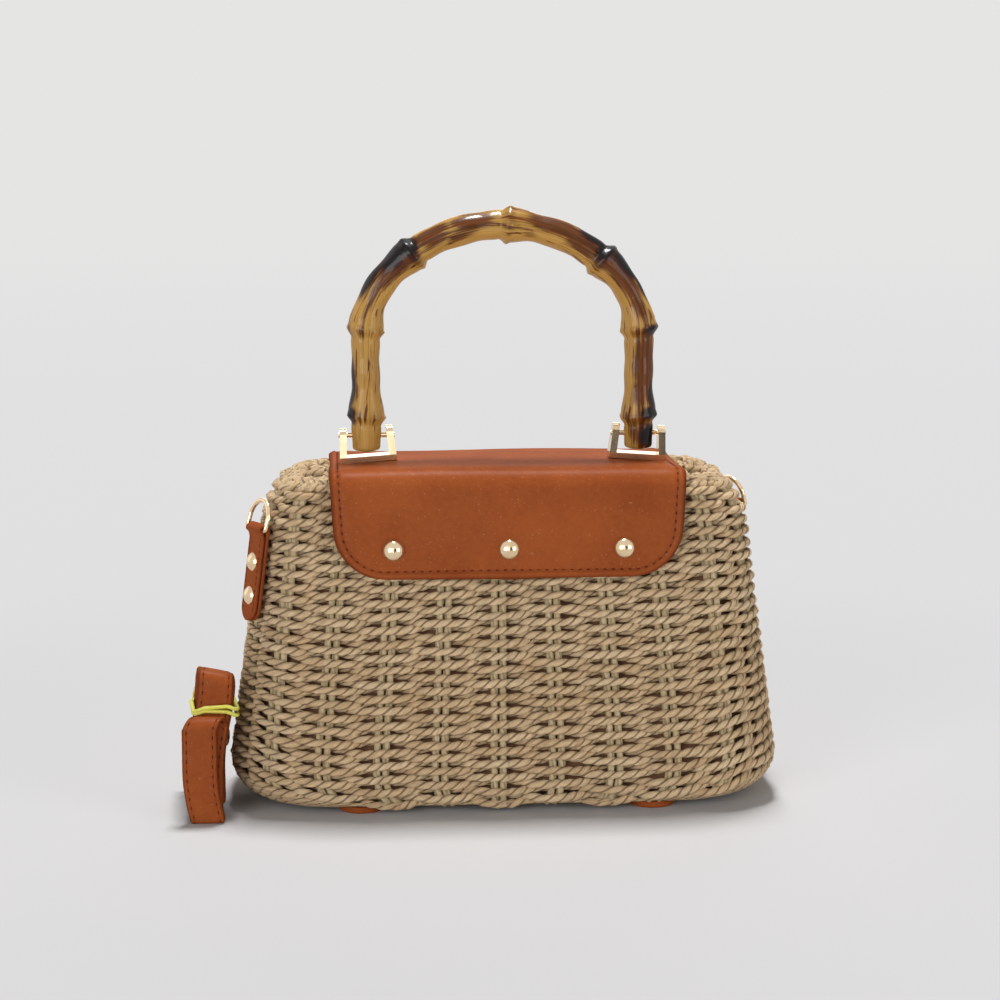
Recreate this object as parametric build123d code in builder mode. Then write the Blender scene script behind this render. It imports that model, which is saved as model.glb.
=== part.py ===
from build123d import *
import os
from math import asin, atan, atan2, cos, degrees, radians, sin, sqrt

# Straw handbag: woven basket, leather flap, bamboo handle, and a shoulder strap tied in a hank.
# Millimetres. The origin is on the floor under the middle of the basket, and the front faces -Y.

# Fits shared by all pieces
overrun = 2.0
seat_gap = 0.3
shank_gap = 0.1
running_gap = 0.06

# Basket outline: lengths run along X, depths along Y, and heights are above the floor
foot_height = 3.2
low_end_turn = 22.8
straight_rise = 108.0
high_end_turn = 20.5
low_front_turn = 12.0
high_front_turn = 9.0
shoulder_length = 226.0
belly_spread_length = 31.0
base_tuck_length = 46.0
rim_tuck_length = 39.0
shoulder_depth = 75.0
belly_spread_depth = 20.0
base_tuck_depth = 13.0
rim_tuck_depth = 8.0
base_corner = 36.0
rim_corner = 18.0
belly_height = foot_height + low_end_turn
shoulder_height = belly_height + straight_rise
rim_height = shoulder_height + high_end_turn
belly_length = shoulder_length + belly_spread_length
base_length = belly_length - base_tuck_length
rim_length = shoulder_length - rim_tuck_length
belly_depth = shoulder_depth + belly_spread_depth
base_depth = belly_depth - base_tuck_depth
rim_depth = shoulder_depth - rim_tuck_depth

# Weave of the basket wall
wall = 5.0
floor_thickness = 4.0
ridge_count = 26
ridge_depth = 1.5
border_radius = 3.0
stake_spacing = 25.0
stake_offset = -4.6
stake_width = 8.0
gap_length = 6.0
gap_height = 2.4
gap_stakes = range(-2, 4)
gap_rows = (4, 7, 10, 13, 16)

# Lining
lining_thickness = 0.8

# Leather flap, and the panel that holds it to the back wall
leather = 2.4
flap_inset = 13.0
flap_taper = 6.0
flap_drop = 44.5
flap_corner = 22.0
flap_standoff = 2.4
flap_bend = 7.0
crest_rise = 5.0
flap_crown = 2.4
front_rise = 3.8
hinge_rise = 2.1
panel_drop = 38.5
panel_standoff = 0.4
flap_width = rim_length - 2 * flap_inset
flap_foot_width = flap_width - flap_taper
flap_bottom = rim_height - flap_drop
flap_crest = rim_height + crest_rise
flap_front_top = rim_height + front_rise
hinge_height = rim_height + hinge_rise
panel_bottom = rim_height - panel_drop

# Studs of the flap and rivets of the back panel
stud_spacing = 52.5
stud_rise = 13.0
stud_height = flap_bottom + stud_rise
stud_radius = 4.85
stud_dome = 2.8
socket_radius = 5.0
socket_mouth = 3.8
socket_height = 1.1
post_radius = 5.0
post_height = 0.6
nub_radius = 1.6
nub_height = 1.0
rivet_rise = 15.0
rivet_height = panel_bottom + rivet_rise
rivet_radius = 4.2
rivet_dome = 1.9
shank_radius = 1.2
washer_radius = 3.4
washer_height = 0.8

# Bamboo handle
leg_inset = 17.0
spring_rise = 57.0
leg_spread = flap_width - 2 * leg_inset
spring_height = flap_crest + spring_rise
arch_rise = 51.0
arch_side_radius = 42.0
cane_radius = 6.9
knot_radius = 8.75
knot_length = 13.0
cane_stub = 7.4
cane_round = 3.2
knot_shares = (0.055, 0.194, 0.345, 0.509, 0.672, 0.806, 0.945)

# Brackets, pins and screws
bracket_width = 26.6
bracket_top_width = 24.4
bracket_height = 16.0
bracket_depth = 10.0
bracket_arm = 3.2
bracket_base = 2.6
bracket_roll = 4.0
bracket_lift = 0.4
pin_rise = 12.0
pin_radius = 1.2
pin_stand = 0.5
screw_radius = 1.5
screw_head_radius = 2.9
screw_head_height = 1.2
backing_radius = 6.0
backing_height = 1.2
screw_end_radius = 2.4
screw_end_height = 1.0

# Side tabs and their rings
tab_turn = 30.0
tab_drop = 44.5
tab_bottom = shoulder_height - tab_drop
tab_length = 42.0
tab_width = 13.0
tab_leather = 1.8
tab_fold_gap = 0.3
tab_rivets = (11.5, 27.0)
ring_wire = 1.1
ring_corner = 1.6
ring_side = 5.0

# Foot pads
foot_radius = 11.0
foot_inset_x = 38.0
foot_inset_y = 11.5
foot_x = base_length / 2 - foot_inset_x
foot_y = base_depth / 2 - foot_inset_y
foot_round = 1.0
foot_head_radius = 4.0
foot_head_height = 1.0
foot_head_recess = 1.0

# Shoulder strap in its hank: doubled runs stand upright and fold front to back
strap_width = 15.8
strap_thickness = 2.3
strand_gap = 0.4
run_gap = 0.8
run_count = 8
hank_gap = 12.2
hank_lead = 4.5
hank_x = -belly_length / 2 - hank_gap
hank_front = -belly_depth / 2 - hank_lead
hank_low = 8.4
hank_high = 56.0
end_low = 21.0
eye_radius = 3.0
eye_spacing = 6.8

# Snap hooks of the strap
hook_wire = 1.0
hook_eye_height = 6.5
hook_neck_radius = 1.6
hook_collar_radius = 2.6
hook_collar_height = 2.0
hook_claw_width = 11.0
hook_claw_length = 22.0
hook_claw_thickness = 3.6
hook_claw_rim = 2.4
hook_mouth = 7.0

# Rubber band round the hank
band_wire = 0.9
band_height = 49.0
band_corner = 1.6
band_tilt = 7.0

# Slopes of the straight part of the wall
end_slope = (belly_length - shoulder_length) / 2 / straight_rise
front_slope = (belly_depth - shoulder_depth) / 2 / straight_rise
front_lean = degrees(atan(front_slope))


def turned_in(rise, turn):
    """Share of a quarter-round turn that is still to come at a rise above its start."""
    left = max(0, 1 - rise / turn)
    return 1 - sqrt(1 - left**2)


def straight_length(height):
    """Half length of the straight end walls, carried on above and below them."""
    return belly_length / 2 - end_slope * (height - belly_height)


def straight_depth(height):
    """Half depth of the straight front and back walls, carried on above and below them."""
    return belly_depth / 2 - front_slope * (height - belly_height)


def half_length(height):
    """Half length of the basket at a height."""
    low = straight_length(foot_height) - base_length / 2
    high = straight_length(rim_height) - rim_length / 2
    low *= turned_in(height - foot_height, low_end_turn)
    high *= turned_in(rim_height - height, high_end_turn)
    return straight_length(height) - low - high


def half_depth(height):
    """Half depth of the basket at a height."""
    low = straight_depth(foot_height) - base_depth / 2
    high = straight_depth(rim_height) - rim_depth / 2
    low *= turned_in(height - foot_height, low_front_turn)
    high *= turned_in(rim_height - height, high_front_turn)
    return straight_depth(height) - low - high


def corner_radius(height):
    """Plan radius of the basket's corners at a height."""
    share = (height - foot_height) / (rim_height - foot_height)
    return base_corner + (rim_corner - base_corner) * share


def wall_section(height, inset):
    """Rounded plan section of the basket at a height, drawn inside its outline."""
    RectangleRounded(
        2 * (half_length(height) - inset),
        2 * (half_depth(height) - inset),
        corner_radius(height) - inset,
    )


def face_plane(x, height, side, standoff=0):
    """Plane along the front (side -1) or back (side 1) wall, facing out, with its Y up the wall."""
    outward = Vector(0, side * cos(radians(front_lean)), sin(radians(front_lean)))
    start = Vector(x, side * straight_depth(height), height)
    return Plane(origin=start + outward * standoff, x_dir=(-side, 0, 0), z_dir=outward)


def corner_point(height, side):
    """Point of the basket's corner where a side tab sits, on the left (-1) or right (1) end."""
    radius = corner_radius(height)
    along = half_length(height) - radius + radius * cos(radians(tab_turn))
    across = half_depth(height) - radius + radius * sin(radians(tab_turn))
    return Vector(side * along, side * across, height)


def tab_plane(side):
    """Plane on the basket under a side tab, facing out, with its Y up the wall."""
    low = corner_point(tab_bottom, side)
    high = corner_point(tab_bottom + tab_length, side)
    across = Vector(-side * sin(radians(tab_turn)), side * cos(radians(tab_turn)), 0)
    up = (high - low).normalized()
    return Plane(origin=low, x_dir=across, z_dir=across.cross(up))


def upright(plane):
    """Plane through another plane's X and Z, for profiles that turn about its Z."""
    return Plane(origin=plane.origin, x_dir=plane.x_dir, z_dir=-plane.y_dir)


def sideways(plane):
    """Plane through another plane's Y and Z, with its own X along that Y."""
    return Plane(origin=plane.origin, x_dir=plane.y_dir, z_dir=plane.x_dir)


def dome_arc(radius, rise):
    """Arc of a domed head, from its edge up to its middle."""
    sphere = (radius**2 + rise**2) / (2 * rise)
    edge_angle = degrees(atan2(sphere - rise, radius))
    CenterArc((0, rise - sphere), sphere, edge_angle, 90 - edge_angle)


def rivet(plane, radius, dome, grip):
    """Domed rivet on a plane, with a shank through the grip and a washer on its far side."""
    with BuildSketch(upright(plane)) as profile:
        with BuildLine():
            dome_arc(radius, dome)
            Polyline(
                (0, dome),
                (0, -grip - washer_height),
                (washer_radius, -grip - washer_height),
                (washer_radius, -grip),
                (shank_radius, -grip),
                (shank_radius, 0),
                (radius, 0),
            )
        make_face()
    revolve(profile.sketch, axis=Axis(plane.origin, plane.z_dir))


def finish(piece, name):
    """Labels a piece and writes it to its own file."""
    piece.part.label = name
    export_step(piece.part, f"parts/{name}.step")


os.makedirs("parts", exist_ok=True)

# Places that several pieces share
ridge_pitch = (rim_height - border_radius - foot_height) / ridge_count
floor_top = foot_height + floor_thickness
inner_low = floor_top + low_front_turn
inner_heights = [
    floor_top,
    (floor_top + inner_low) / 2,
    inner_low,
    foot_height + low_end_turn,
    shoulder_height,
    (shoulder_height + rim_height) / 2,
    rim_height - border_radius,
]
lining_inset = wall + seat_gap
lining_floor = floor_top + seat_gap
lining_heights = inner_heights[:-1]
wall_grip = (lining_inset + lining_thickness + seat_gap) / cos(radians(front_lean))
foot_places = [(sx * foot_x, sy * foot_y) for sx in (-1, 1) for sy in (-1, 1)]
stud_xs = [(place - 1) * stud_spacing for place in range(3)]
post_planes = [face_plane(x, stud_height, -1, seat_gap) for x in stud_xs]
panel_rivet_planes = [face_plane(x, rivet_height, 1, panel_standoff + leather) for x in stud_xs]
tab_stack = 2 * tab_leather + tab_fold_gap
tab_rivet_planes = {}
for side in (-1, 1):
    seat = tab_plane(side).offset(seat_gap + tab_stack)
    tab_rivet_planes[side] = [
        Plane(origin=seat.origin + seat.y_dir * place, x_dir=seat.x_dir, z_dir=seat.z_dir)
        for place in tab_rivets
    ]
tab_grip = seat_gap + tab_stack + wall_grip + seat_gap
drilled_planes = post_planes + panel_rivet_planes + tab_rivet_planes[-1] + tab_rivet_planes[1]
drill_depth = leather + tab_stack + wall_grip + 2 * overrun

# Woven basket: one ridge for each rope that lies in front of a stake, and a plaited border on the rim
with BuildPart() as basket:
    for step in range(2 * ridge_count + 1):
        section_height = foot_height + step * ridge_pitch / 2
        with BuildSketch(Plane.XY.offset(section_height)):
            wall_section(section_height, 0 if step % 2 else ridge_depth)
    loft(ruled=True)
    for section_height in inner_heights:
        with BuildSketch(Plane.XY.offset(section_height)):
            wall_section(section_height, wall)
    with BuildSketch(Plane.XY.offset(rim_height)):
        wall_section(rim_height - border_radius, wall)
    loft(ruled=True, mode=Mode.SUBTRACT)
    with BuildSketch(Plane.XY.offset(rim_height - border_radius), mode=Mode.PRIVATE) as border_line:
        wall_section(rim_height - border_radius, wall / 2)
    border_wire = border_line.sketch.face().outer_wire()
    with BuildSketch(Plane(origin=border_wire @ 0, z_dir=border_wire % 0)):
        Circle(border_radius)
    sweep(path=border_wire)
    # See-through gaps on both sides of the stakes, through the front and back walls alike
    with BuildSketch(Plane.XZ):
        for stake in gap_stakes:
            for row in gap_rows:
                gap_z = foot_height + (row + stake % 2) * ridge_pitch
                for hand in (-1, 1):
                    gap_x = stake_offset + stake * stake_spacing + hand * (stake_width + gap_length) / 2
                    with Locations((gap_x, gap_z)):
                        Rectangle(gap_length, gap_height)
    extrude(amount=belly_depth, both=True, mode=Mode.SUBTRACT)
    with Locations(*drilled_planes):
        Hole(shank_radius + shank_gap, depth=drill_depth)
    with Locations(*[(x, y, floor_top) for x, y in foot_places]):
        Hole(shank_radius + shank_gap, depth=floor_thickness)
finish(basket, "basket")

# Cloth lining, sewn in below the border
with BuildPart() as lining:
    for section_height in lining_heights:
        at_floor = section_height == floor_top
        with BuildSketch(Plane.XY.offset(lining_floor if at_floor else section_height)):
            wall_section(section_height, lining_inset)
    loft(ruled=True)
    for section_height in lining_heights:
        at_floor = section_height == floor_top
        drawn_height = lining_floor + lining_thickness if at_floor else section_height
        with BuildSketch(Plane.XY.offset(drawn_height)):
            wall_section(section_height, lining_inset + lining_thickness)
    loft(ruled=True, mode=Mode.SUBTRACT)
    with Locations(*drilled_planes):
        Hole(shank_radius + shank_gap, depth=drill_depth)
    with Locations(*[(x, y, lining_floor + lining_thickness) for x, y in foot_places]):
        Hole(shank_radius + shank_gap, depth=lining_thickness)
finish(lining, "lining")

# Leather foot pads under the floor, each held by a rivet whose head lies in a recess
with BuildPart() as foot_pads:
    with Locations(*[(x, y, 0) for x, y in foot_places]):
        Cylinder(foot_radius, foot_height, align=(Align.CENTER, Align.CENTER, Align.MIN))
    fillet(foot_pads.edges().group_by(Axis.Z)[0], foot_round)
    with Locations(*[Plane(origin=(x, y, 0), z_dir=(0, 0, -1)) for x, y in foot_places]):
        CounterBoreHole(
            shank_radius + shank_gap,
            foot_head_radius + shank_gap,
            foot_head_recess + foot_head_height,
            depth=foot_height,
        )
finish(foot_pads, "foot_pads")

with BuildPart() as foot_rivets:
    shank_top = lining_floor + lining_thickness + seat_gap
    with BuildSketch(Plane.XY.offset(foot_head_recess)):
        with Locations(*foot_places):
            Circle(foot_head_radius)
    extrude(amount=foot_head_height - shank_gap)
    with BuildSketch(Plane.XY.offset(foot_head_recess)):
        with Locations(*foot_places):
            Circle(shank_radius)
    extrude(amount=shank_top - foot_head_recess)
    with BuildSketch(Plane.XY.offset(shank_top)):
        with Locations(*foot_places):
            Circle(washer_radius)
    extrude(amount=washer_height)
finish(foot_rivets, "foot_rivets")

# Posts of the press studs, riveted through the front wall
with BuildPart() as stud_posts:
    for plane in post_planes:
        with BuildSketch(upright(plane)):
            with BuildLine():
                Polyline(
                    (0, post_height + nub_height),
                    (nub_radius, post_height + nub_height),
                    (nub_radius, post_height),
                    (post_radius, post_height),
                    (post_radius, 0),
                    (shank_radius, 0),
                    (shank_radius, -seat_gap - wall_grip),
                    (washer_radius, -seat_gap - wall_grip),
                    (washer_radius, -seat_gap - wall_grip - washer_height),
                    (0, -seat_gap - wall_grip - washer_height),
                    close=True,
                )
            make_face()
        revolve(axis=Axis(plane.origin, plane.z_dir))
finish(stud_posts, "stud_posts")

# Panel on the back wall, which carries the flap at its upper edge
hinge_gap = leather / 2 + seat_gap
hinge = face_plane(0, hinge_height, 1, panel_standoff + leather / 2)
panel_plane = face_plane(0, panel_bottom, 1, panel_standoff)
panel_rise = (hinge.origin - panel_plane.origin).dot(panel_plane.y_dir) - hinge_gap
with BuildPart() as back_panel:
    with BuildSketch(panel_plane) as panel_outline:
        with Locations((0, panel_rise / 2)):
            Rectangle(flap_width, panel_rise)
        fillet(panel_outline.vertices().group_by(Axis.Y)[0], flap_corner)
    extrude(amount=leather)
    with Locations(*panel_rivet_planes):
        Hole(shank_radius + shank_gap, depth=drill_depth)
finish(back_panel, "back_panel")

with BuildPart() as back_rivets:
    for plane in panel_rivet_planes:
        rivet(plane, rivet_radius, rivet_dome, panel_standoff + leather + wall_grip)
finish(back_rivets, "back_rivets")

# Flap: crowned along its width, over the mouth and down the front, with rounded lower corners
crest_middle = flap_crest - leather / 2
drop_top = face_plane(0, flap_front_top, -1, flap_standoff + leather / 2).origin
drop_low = face_plane(0, flap_bottom, -1, flap_standoff + leather / 2).origin
cap_planes = [face_plane(x, stud_height, -1, flap_standoff + leather) for x in stud_xs]
socket_planes = [face_plane(x, stud_height, -1, flap_standoff) for x in stud_xs]


def leather_top(x):
    """Height of the flap's outer face along its crest."""
    return flap_crest - flap_crown * (x / (flap_width / 2)) ** 2


# Brackets stand on the crest and lean outwards with it
leg_x = leg_spread / 2
bracket_x = leg_x - pin_rise * sin(radians(bracket_roll))
bracket_seat = leather_top(bracket_x) + bracket_lift
pin_height = bracket_seat + pin_rise * cos(radians(bracket_roll))
bracket_planes = {
    side: Plane(
        origin=(side * bracket_x, 0, bracket_seat),
        x_dir=(cos(radians(bracket_roll)), 0, -side * sin(radians(bracket_roll))),
        z_dir=(0, -1, 0),
    )
    for side in (-1, 1)
}
seat_planes = {
    side: Plane(origin=plane.origin, x_dir=plane.x_dir, z_dir=plane.y_dir)
    for side, plane in bracket_planes.items()
}

with BuildPart() as flap:
    for section_x in (-flap_width / 2, 0, flap_width / 2):
        with BuildSketch(Plane.YZ.offset(section_x)):
            with BuildLine() as fold:
                crest = (0, leather_top(section_x) - leather / 2)
                ThreePointArc((hinge.origin.Y, hinge.origin.Z), crest, (drop_top.Y, drop_top.Z))
                Line((drop_top.Y, drop_top.Z), (drop_low.Y, drop_low.Z))
                fillet(fold.vertices().sort_by_distance((drop_top.Y, drop_top.Z))[0], flap_bend)
                offset(amount=leather / 2)
            make_face()
    loft()
    with BuildSketch(Plane.XZ) as front_outline:
        with BuildLine():
            Polyline(
                (-flap_foot_width / 2, flap_bottom - leather),
                (flap_foot_width / 2, flap_bottom - leather),
                (flap_width / 2, flap_crest + leather),
                (-flap_width / 2, flap_crest + leather),
                close=True,
            )
        make_face()
        fillet(front_outline.vertices().group_by(Axis.Y)[0], flap_corner)
    extrude(amount=belly_depth, both=True, mode=Mode.INTERSECT)
    with Locations(*cap_planes):
        Hole(shank_radius + shank_gap, depth=2 * leather)
    with Locations(*[plane.offset(overrun) for plane in seat_planes.values()]):
        Hole(screw_radius + shank_gap, depth=2 * overrun + 2 * leather)
finish(flap, "flap")

with BuildPart() as stud_caps:
    for plane in cap_planes:
        with BuildSketch(upright(plane)):
            with BuildLine():
                dome_arc(stud_radius, stud_dome)
                Polyline(
                    (0, stud_dome),
                    (0, -leather),
                    (shank_radius, -leather),
                    (shank_radius, 0),
                    (stud_radius, 0),
                )
            make_face()
        revolve(axis=Axis(plane.origin, plane.z_dir))
finish(stud_caps, "stud_caps")

with BuildPart() as stud_sockets:
    for plane in socket_planes:
        with BuildSketch(plane):
            Circle(socket_radius)
            Circle(socket_mouth, mode=Mode.SUBTRACT)
        extrude(amount=-socket_height)
finish(stud_sockets, "stud_sockets")

arm_lean = (bracket_width - bracket_top_width) / 2 / bracket_height
floor_width = bracket_width - 2 * (bracket_arm + arm_lean * bracket_base)
for side, name in ((-1, "bracket_left"), (1, "bracket_right")):
    with BuildPart() as bracket:
        with BuildSketch(bracket_planes[side]):
            with BuildLine():
                Polyline(
                    (-bracket_width / 2, 0),
                    (bracket_width / 2, 0),
                    (bracket_top_width / 2, bracket_height),
                    (bracket_top_width / 2 - bracket_arm, bracket_height),
                    (floor_width / 2, bracket_base),
                    (-floor_width / 2, bracket_base),
                    (bracket_arm - bracket_top_width / 2, bracket_height),
                    (-bracket_top_width / 2, bracket_height),
                    close=True,
                )
            make_face()
        extrude(amount=bracket_depth / 2, both=True)
        with BuildSketch(sideways(seat_planes[side])):
            with Locations((0, pin_rise)):
                Circle(bracket_height - pin_rise)
            with Locations((0, bracket_base / 2)):
                Rectangle(bracket_depth, bracket_base)
            make_hull()
        extrude(amount=bracket_width, both=True, mode=Mode.INTERSECT)
        with BuildSketch(Plane.YZ.offset(side * leg_x)):
            with Locations((0, pin_height)):
                Circle(pin_radius + shank_gap)
        extrude(amount=bracket_width, both=True, mode=Mode.SUBTRACT)
        with Locations(seat_planes[side].offset(bracket_base)):
            CounterSinkHole(
                screw_radius + shank_gap,
                screw_head_radius + shank_gap,
                depth=bracket_base,
                counter_sink_angle=2 * degrees(atan2(screw_head_radius - screw_radius, screw_head_height)),
            )
    finish(bracket, name)

with BuildPart() as handle_pins:
    pin_length = bracket_width - 2 * arm_lean * pin_rise + 2 * pin_stand
    for side in (-1, 1):
        with BuildSketch(Plane.YZ.offset(side * leg_x - pin_length / 2)):
            with Locations((0, pin_height)):
                Circle(pin_radius)
        extrude(amount=pin_length)
finish(handle_pins, "handle_pins")

# Screws through the bracket bases and the flap, on backing washers under the leather
screw_grip = bracket_base + bracket_lift + leather + seat_gap
with BuildPart() as bracket_screws:
    for plane in seat_planes.values():
        with BuildSketch(upright(plane.offset(bracket_base))):
            with BuildLine():
                Polyline(
                    (0, 0),
                    (screw_head_radius, 0),
                    (screw_radius, -screw_head_height),
                    (screw_radius, -screw_grip - backing_height - shank_gap),
                    (screw_end_radius, -screw_grip - backing_height - shank_gap),
                    (screw_end_radius, -screw_grip - backing_height - screw_end_height),
                    (0, -screw_grip - backing_height - screw_end_height),
                    close=True,
                )
            make_face()
        revolve(axis=Axis(plane.origin, plane.z_dir))
finish(bracket_screws, "bracket_screws")

with BuildPart() as bracket_washers:
    for plane in seat_planes.values():
        with BuildSketch(plane.offset(bracket_base - screw_grip)):
            Circle(backing_radius)
            Circle(screw_radius + shank_gap, mode=Mode.SUBTRACT)
        extrude(amount=-backing_height)
finish(bracket_washers, "bracket_washers")

# Bamboo handle: upright legs, a three-centred arch, and a swollen knot at each joint of the cane
arch_offset = leg_x - arch_side_radius
crown_drop = (arch_offset**2 - (arch_rise - arch_side_radius) ** 2) / (2 * (arch_rise - arch_side_radius))
crown_radius = arch_rise + crown_drop
haunch_angle = degrees(atan2(crown_drop, arch_offset))
cane_foot = pin_height - cane_stub
with BuildPart() as handle:
    with BuildLine(Plane.XZ) as cane_line:
        Line((leg_x, cane_foot), (leg_x, spring_height))
        CenterArc((arch_offset, spring_height), arch_side_radius, 0, haunch_angle)
        CenterArc(
            (0, spring_height - crown_drop), crown_radius, haunch_angle, 2 * (90 - haunch_angle)
        )
        CenterArc(
            (-arch_offset, spring_height), arch_side_radius, 180 - haunch_angle, haunch_angle
        )
        Line((-leg_x, spring_height), (-leg_x, cane_foot))
    cane_wire = cane_line.wire()
    with BuildSketch(Plane(origin=cane_wire @ 0, z_dir=cane_wire % 0)):
        Circle(cane_radius)
    sweep(path=cane_wire)
    fillet(handle.edges().filter_by(GeomType.CIRCLE).group_by(Axis.Z)[0], cane_round)
    for share in knot_shares:
        knot_plane = Plane(origin=cane_wire @ (1 - share), x_dir=(0, 1, 0), z_dir=cane_wire % (1 - share))
        with BuildSketch(upright(knot_plane)):
            with BuildLine():
                ThreePointArc((0, -knot_length), (knot_radius, 0), (0, knot_length))
                Line((0, knot_length), (0, -knot_length))
            make_face()
        revolve(axis=Axis(knot_plane.origin, knot_plane.z_dir))
    with BuildSketch(Plane.YZ):
        with Locations((0, pin_height)):
            Circle(pin_radius + running_gap)
    extrude(amount=leg_spread, both=True, mode=Mode.SUBTRACT)
finish(handle, "handle")

# Side tabs: a leather strip folded over the bar of a ring and riveted through the wall
eye_inner = ring_wire + seat_gap
eye_outer = eye_inner + tab_leather
ring_half = tab_width / 2 + seat_gap + ring_corner
ring_reach = ring_side + ring_half
ring_lean = degrees(asin((eye_outer - ring_wire) / ring_reach))
for side, hand in ((-1, "left"), (1, "right")):
    seat = tab_plane(side).offset(seat_gap)
    with BuildPart() as side_tab:
        with BuildSketch(sideways(seat)):
            with Locations((tab_length / 2, tab_stack / 2)):
                Rectangle(tab_length, tab_stack)
            with Locations((tab_length, eye_outer)):
                Circle(eye_outer)
                Circle(eye_inner, mode=Mode.SUBTRACT)
            with Locations((tab_length / 2, tab_stack / 2)):
                Rectangle(tab_length, tab_fold_gap, mode=Mode.SUBTRACT)
        extrude(amount=tab_width / 2, both=True)
        with BuildSketch(seat):
            with Locations((0, tab_width / 2)):
                Circle(tab_width / 2)
                Rectangle(tab_width, 2 * tab_length, align=(Align.CENTER, Align.MIN))
        extrude(amount=2 * eye_outer, mode=Mode.INTERSECT)
        with Locations(*tab_rivet_planes[side]):
            Hole(shank_radius + shank_gap, depth=drill_depth)
    finish(side_tab, f"side_tab_{hand}")

    with BuildPart() as tab_pair:
        for plane in tab_rivet_planes[side]:
            rivet(plane, rivet_radius, rivet_dome, tab_grip)
    finish(tab_pair, f"tab_rivets_{hand}")

    eye_centre = seat.origin + seat.y_dir * tab_length + seat.z_dir * eye_outer
    ring_up = seat.y_dir * cos(radians(ring_lean)) - seat.z_dir * sin(radians(ring_lean))
    ring_plane = Plane(origin=eye_centre, x_dir=seat.x_dir, z_dir=seat.x_dir.cross(ring_up))
    with BuildPart() as side_ring:
        with BuildSketch(ring_plane, mode=Mode.PRIVATE) as ring_line:
            with BuildLine():
                Polyline((-ring_half, ring_side), (-ring_half, 0), (ring_half, 0), (ring_half, ring_side))
                ThreePointArc((ring_half, ring_side), (0, ring_reach), (-ring_half, ring_side))
            make_face()
            fillet(ring_line.vertices().group_by(Axis.Y)[0], ring_corner)
        ring_wire_path = ring_line.sketch.face().outer_wire()
        with BuildSketch(Plane(origin=ring_wire_path @ 0, z_dir=ring_wire_path % 0)):
            Circle(ring_wire)
        sweep(path=ring_wire_path)
    finish(side_ring, f"side_ring_{hand}")

# Shoulder strap: doubled, folded to and fro from a loop at the front, with both ends at the back
doubled = 2 * strap_thickness + strand_gap
strand_offset = (strap_thickness + strand_gap) / 2
run_pitch = doubled + run_gap
run_ys = [hank_front + doubled / 2 + run * run_pitch for run in range(run_count)]
last_y = run_ys[-1]
inner_end_y = last_y + doubled / 2 + seat_gap + eye_radius
end_ys = (inner_end_y, inner_end_y + eye_spacing)
eye_height = end_low + eye_radius
eye_hole = hook_wire + seat_gap
with BuildPart() as shoulder_strap:
    with BuildSketch(Plane.YZ.offset(hank_x - strap_width / 2)):
        with BuildLine() as runs:
            for run, run_y in enumerate(run_ys):
                Line((run_y, hank_low if run else doubled / 2), (run_y, hank_high))
                if run < run_count - 1:
                    fold_height, start = (hank_low, 180) if run % 2 else (hank_high, 0)
                    CenterArc((run_y + run_pitch / 2, fold_height), run_pitch / 2, start, 180)
        trace(runs.line, line_width=doubled)
        trace(runs.line, line_width=strand_gap, mode=Mode.SUBTRACT)
        with BuildLine() as ends:
            CenterArc((run_ys[0], doubled / 2), strand_offset, 180, 180)
            for end_y, start_y in zip(end_ys, (last_y + strand_offset, last_y - strand_offset)):
                CenterArc(((start_y + end_y) / 2, hank_low), (end_y - start_y) / 2, 180, 180)
                Line((end_y, hank_low), (end_y, end_low + eye_radius - eye_hole))
        trace(ends.line, line_width=strap_thickness)
        with Locations(*[(end_y, eye_height) for end_y in end_ys]):
            Circle(eye_radius)
            Circle(eye_hole, mode=Mode.SUBTRACT)
    extrude(amount=strap_width)
finish(shoulder_strap, "shoulder_strap")

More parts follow.
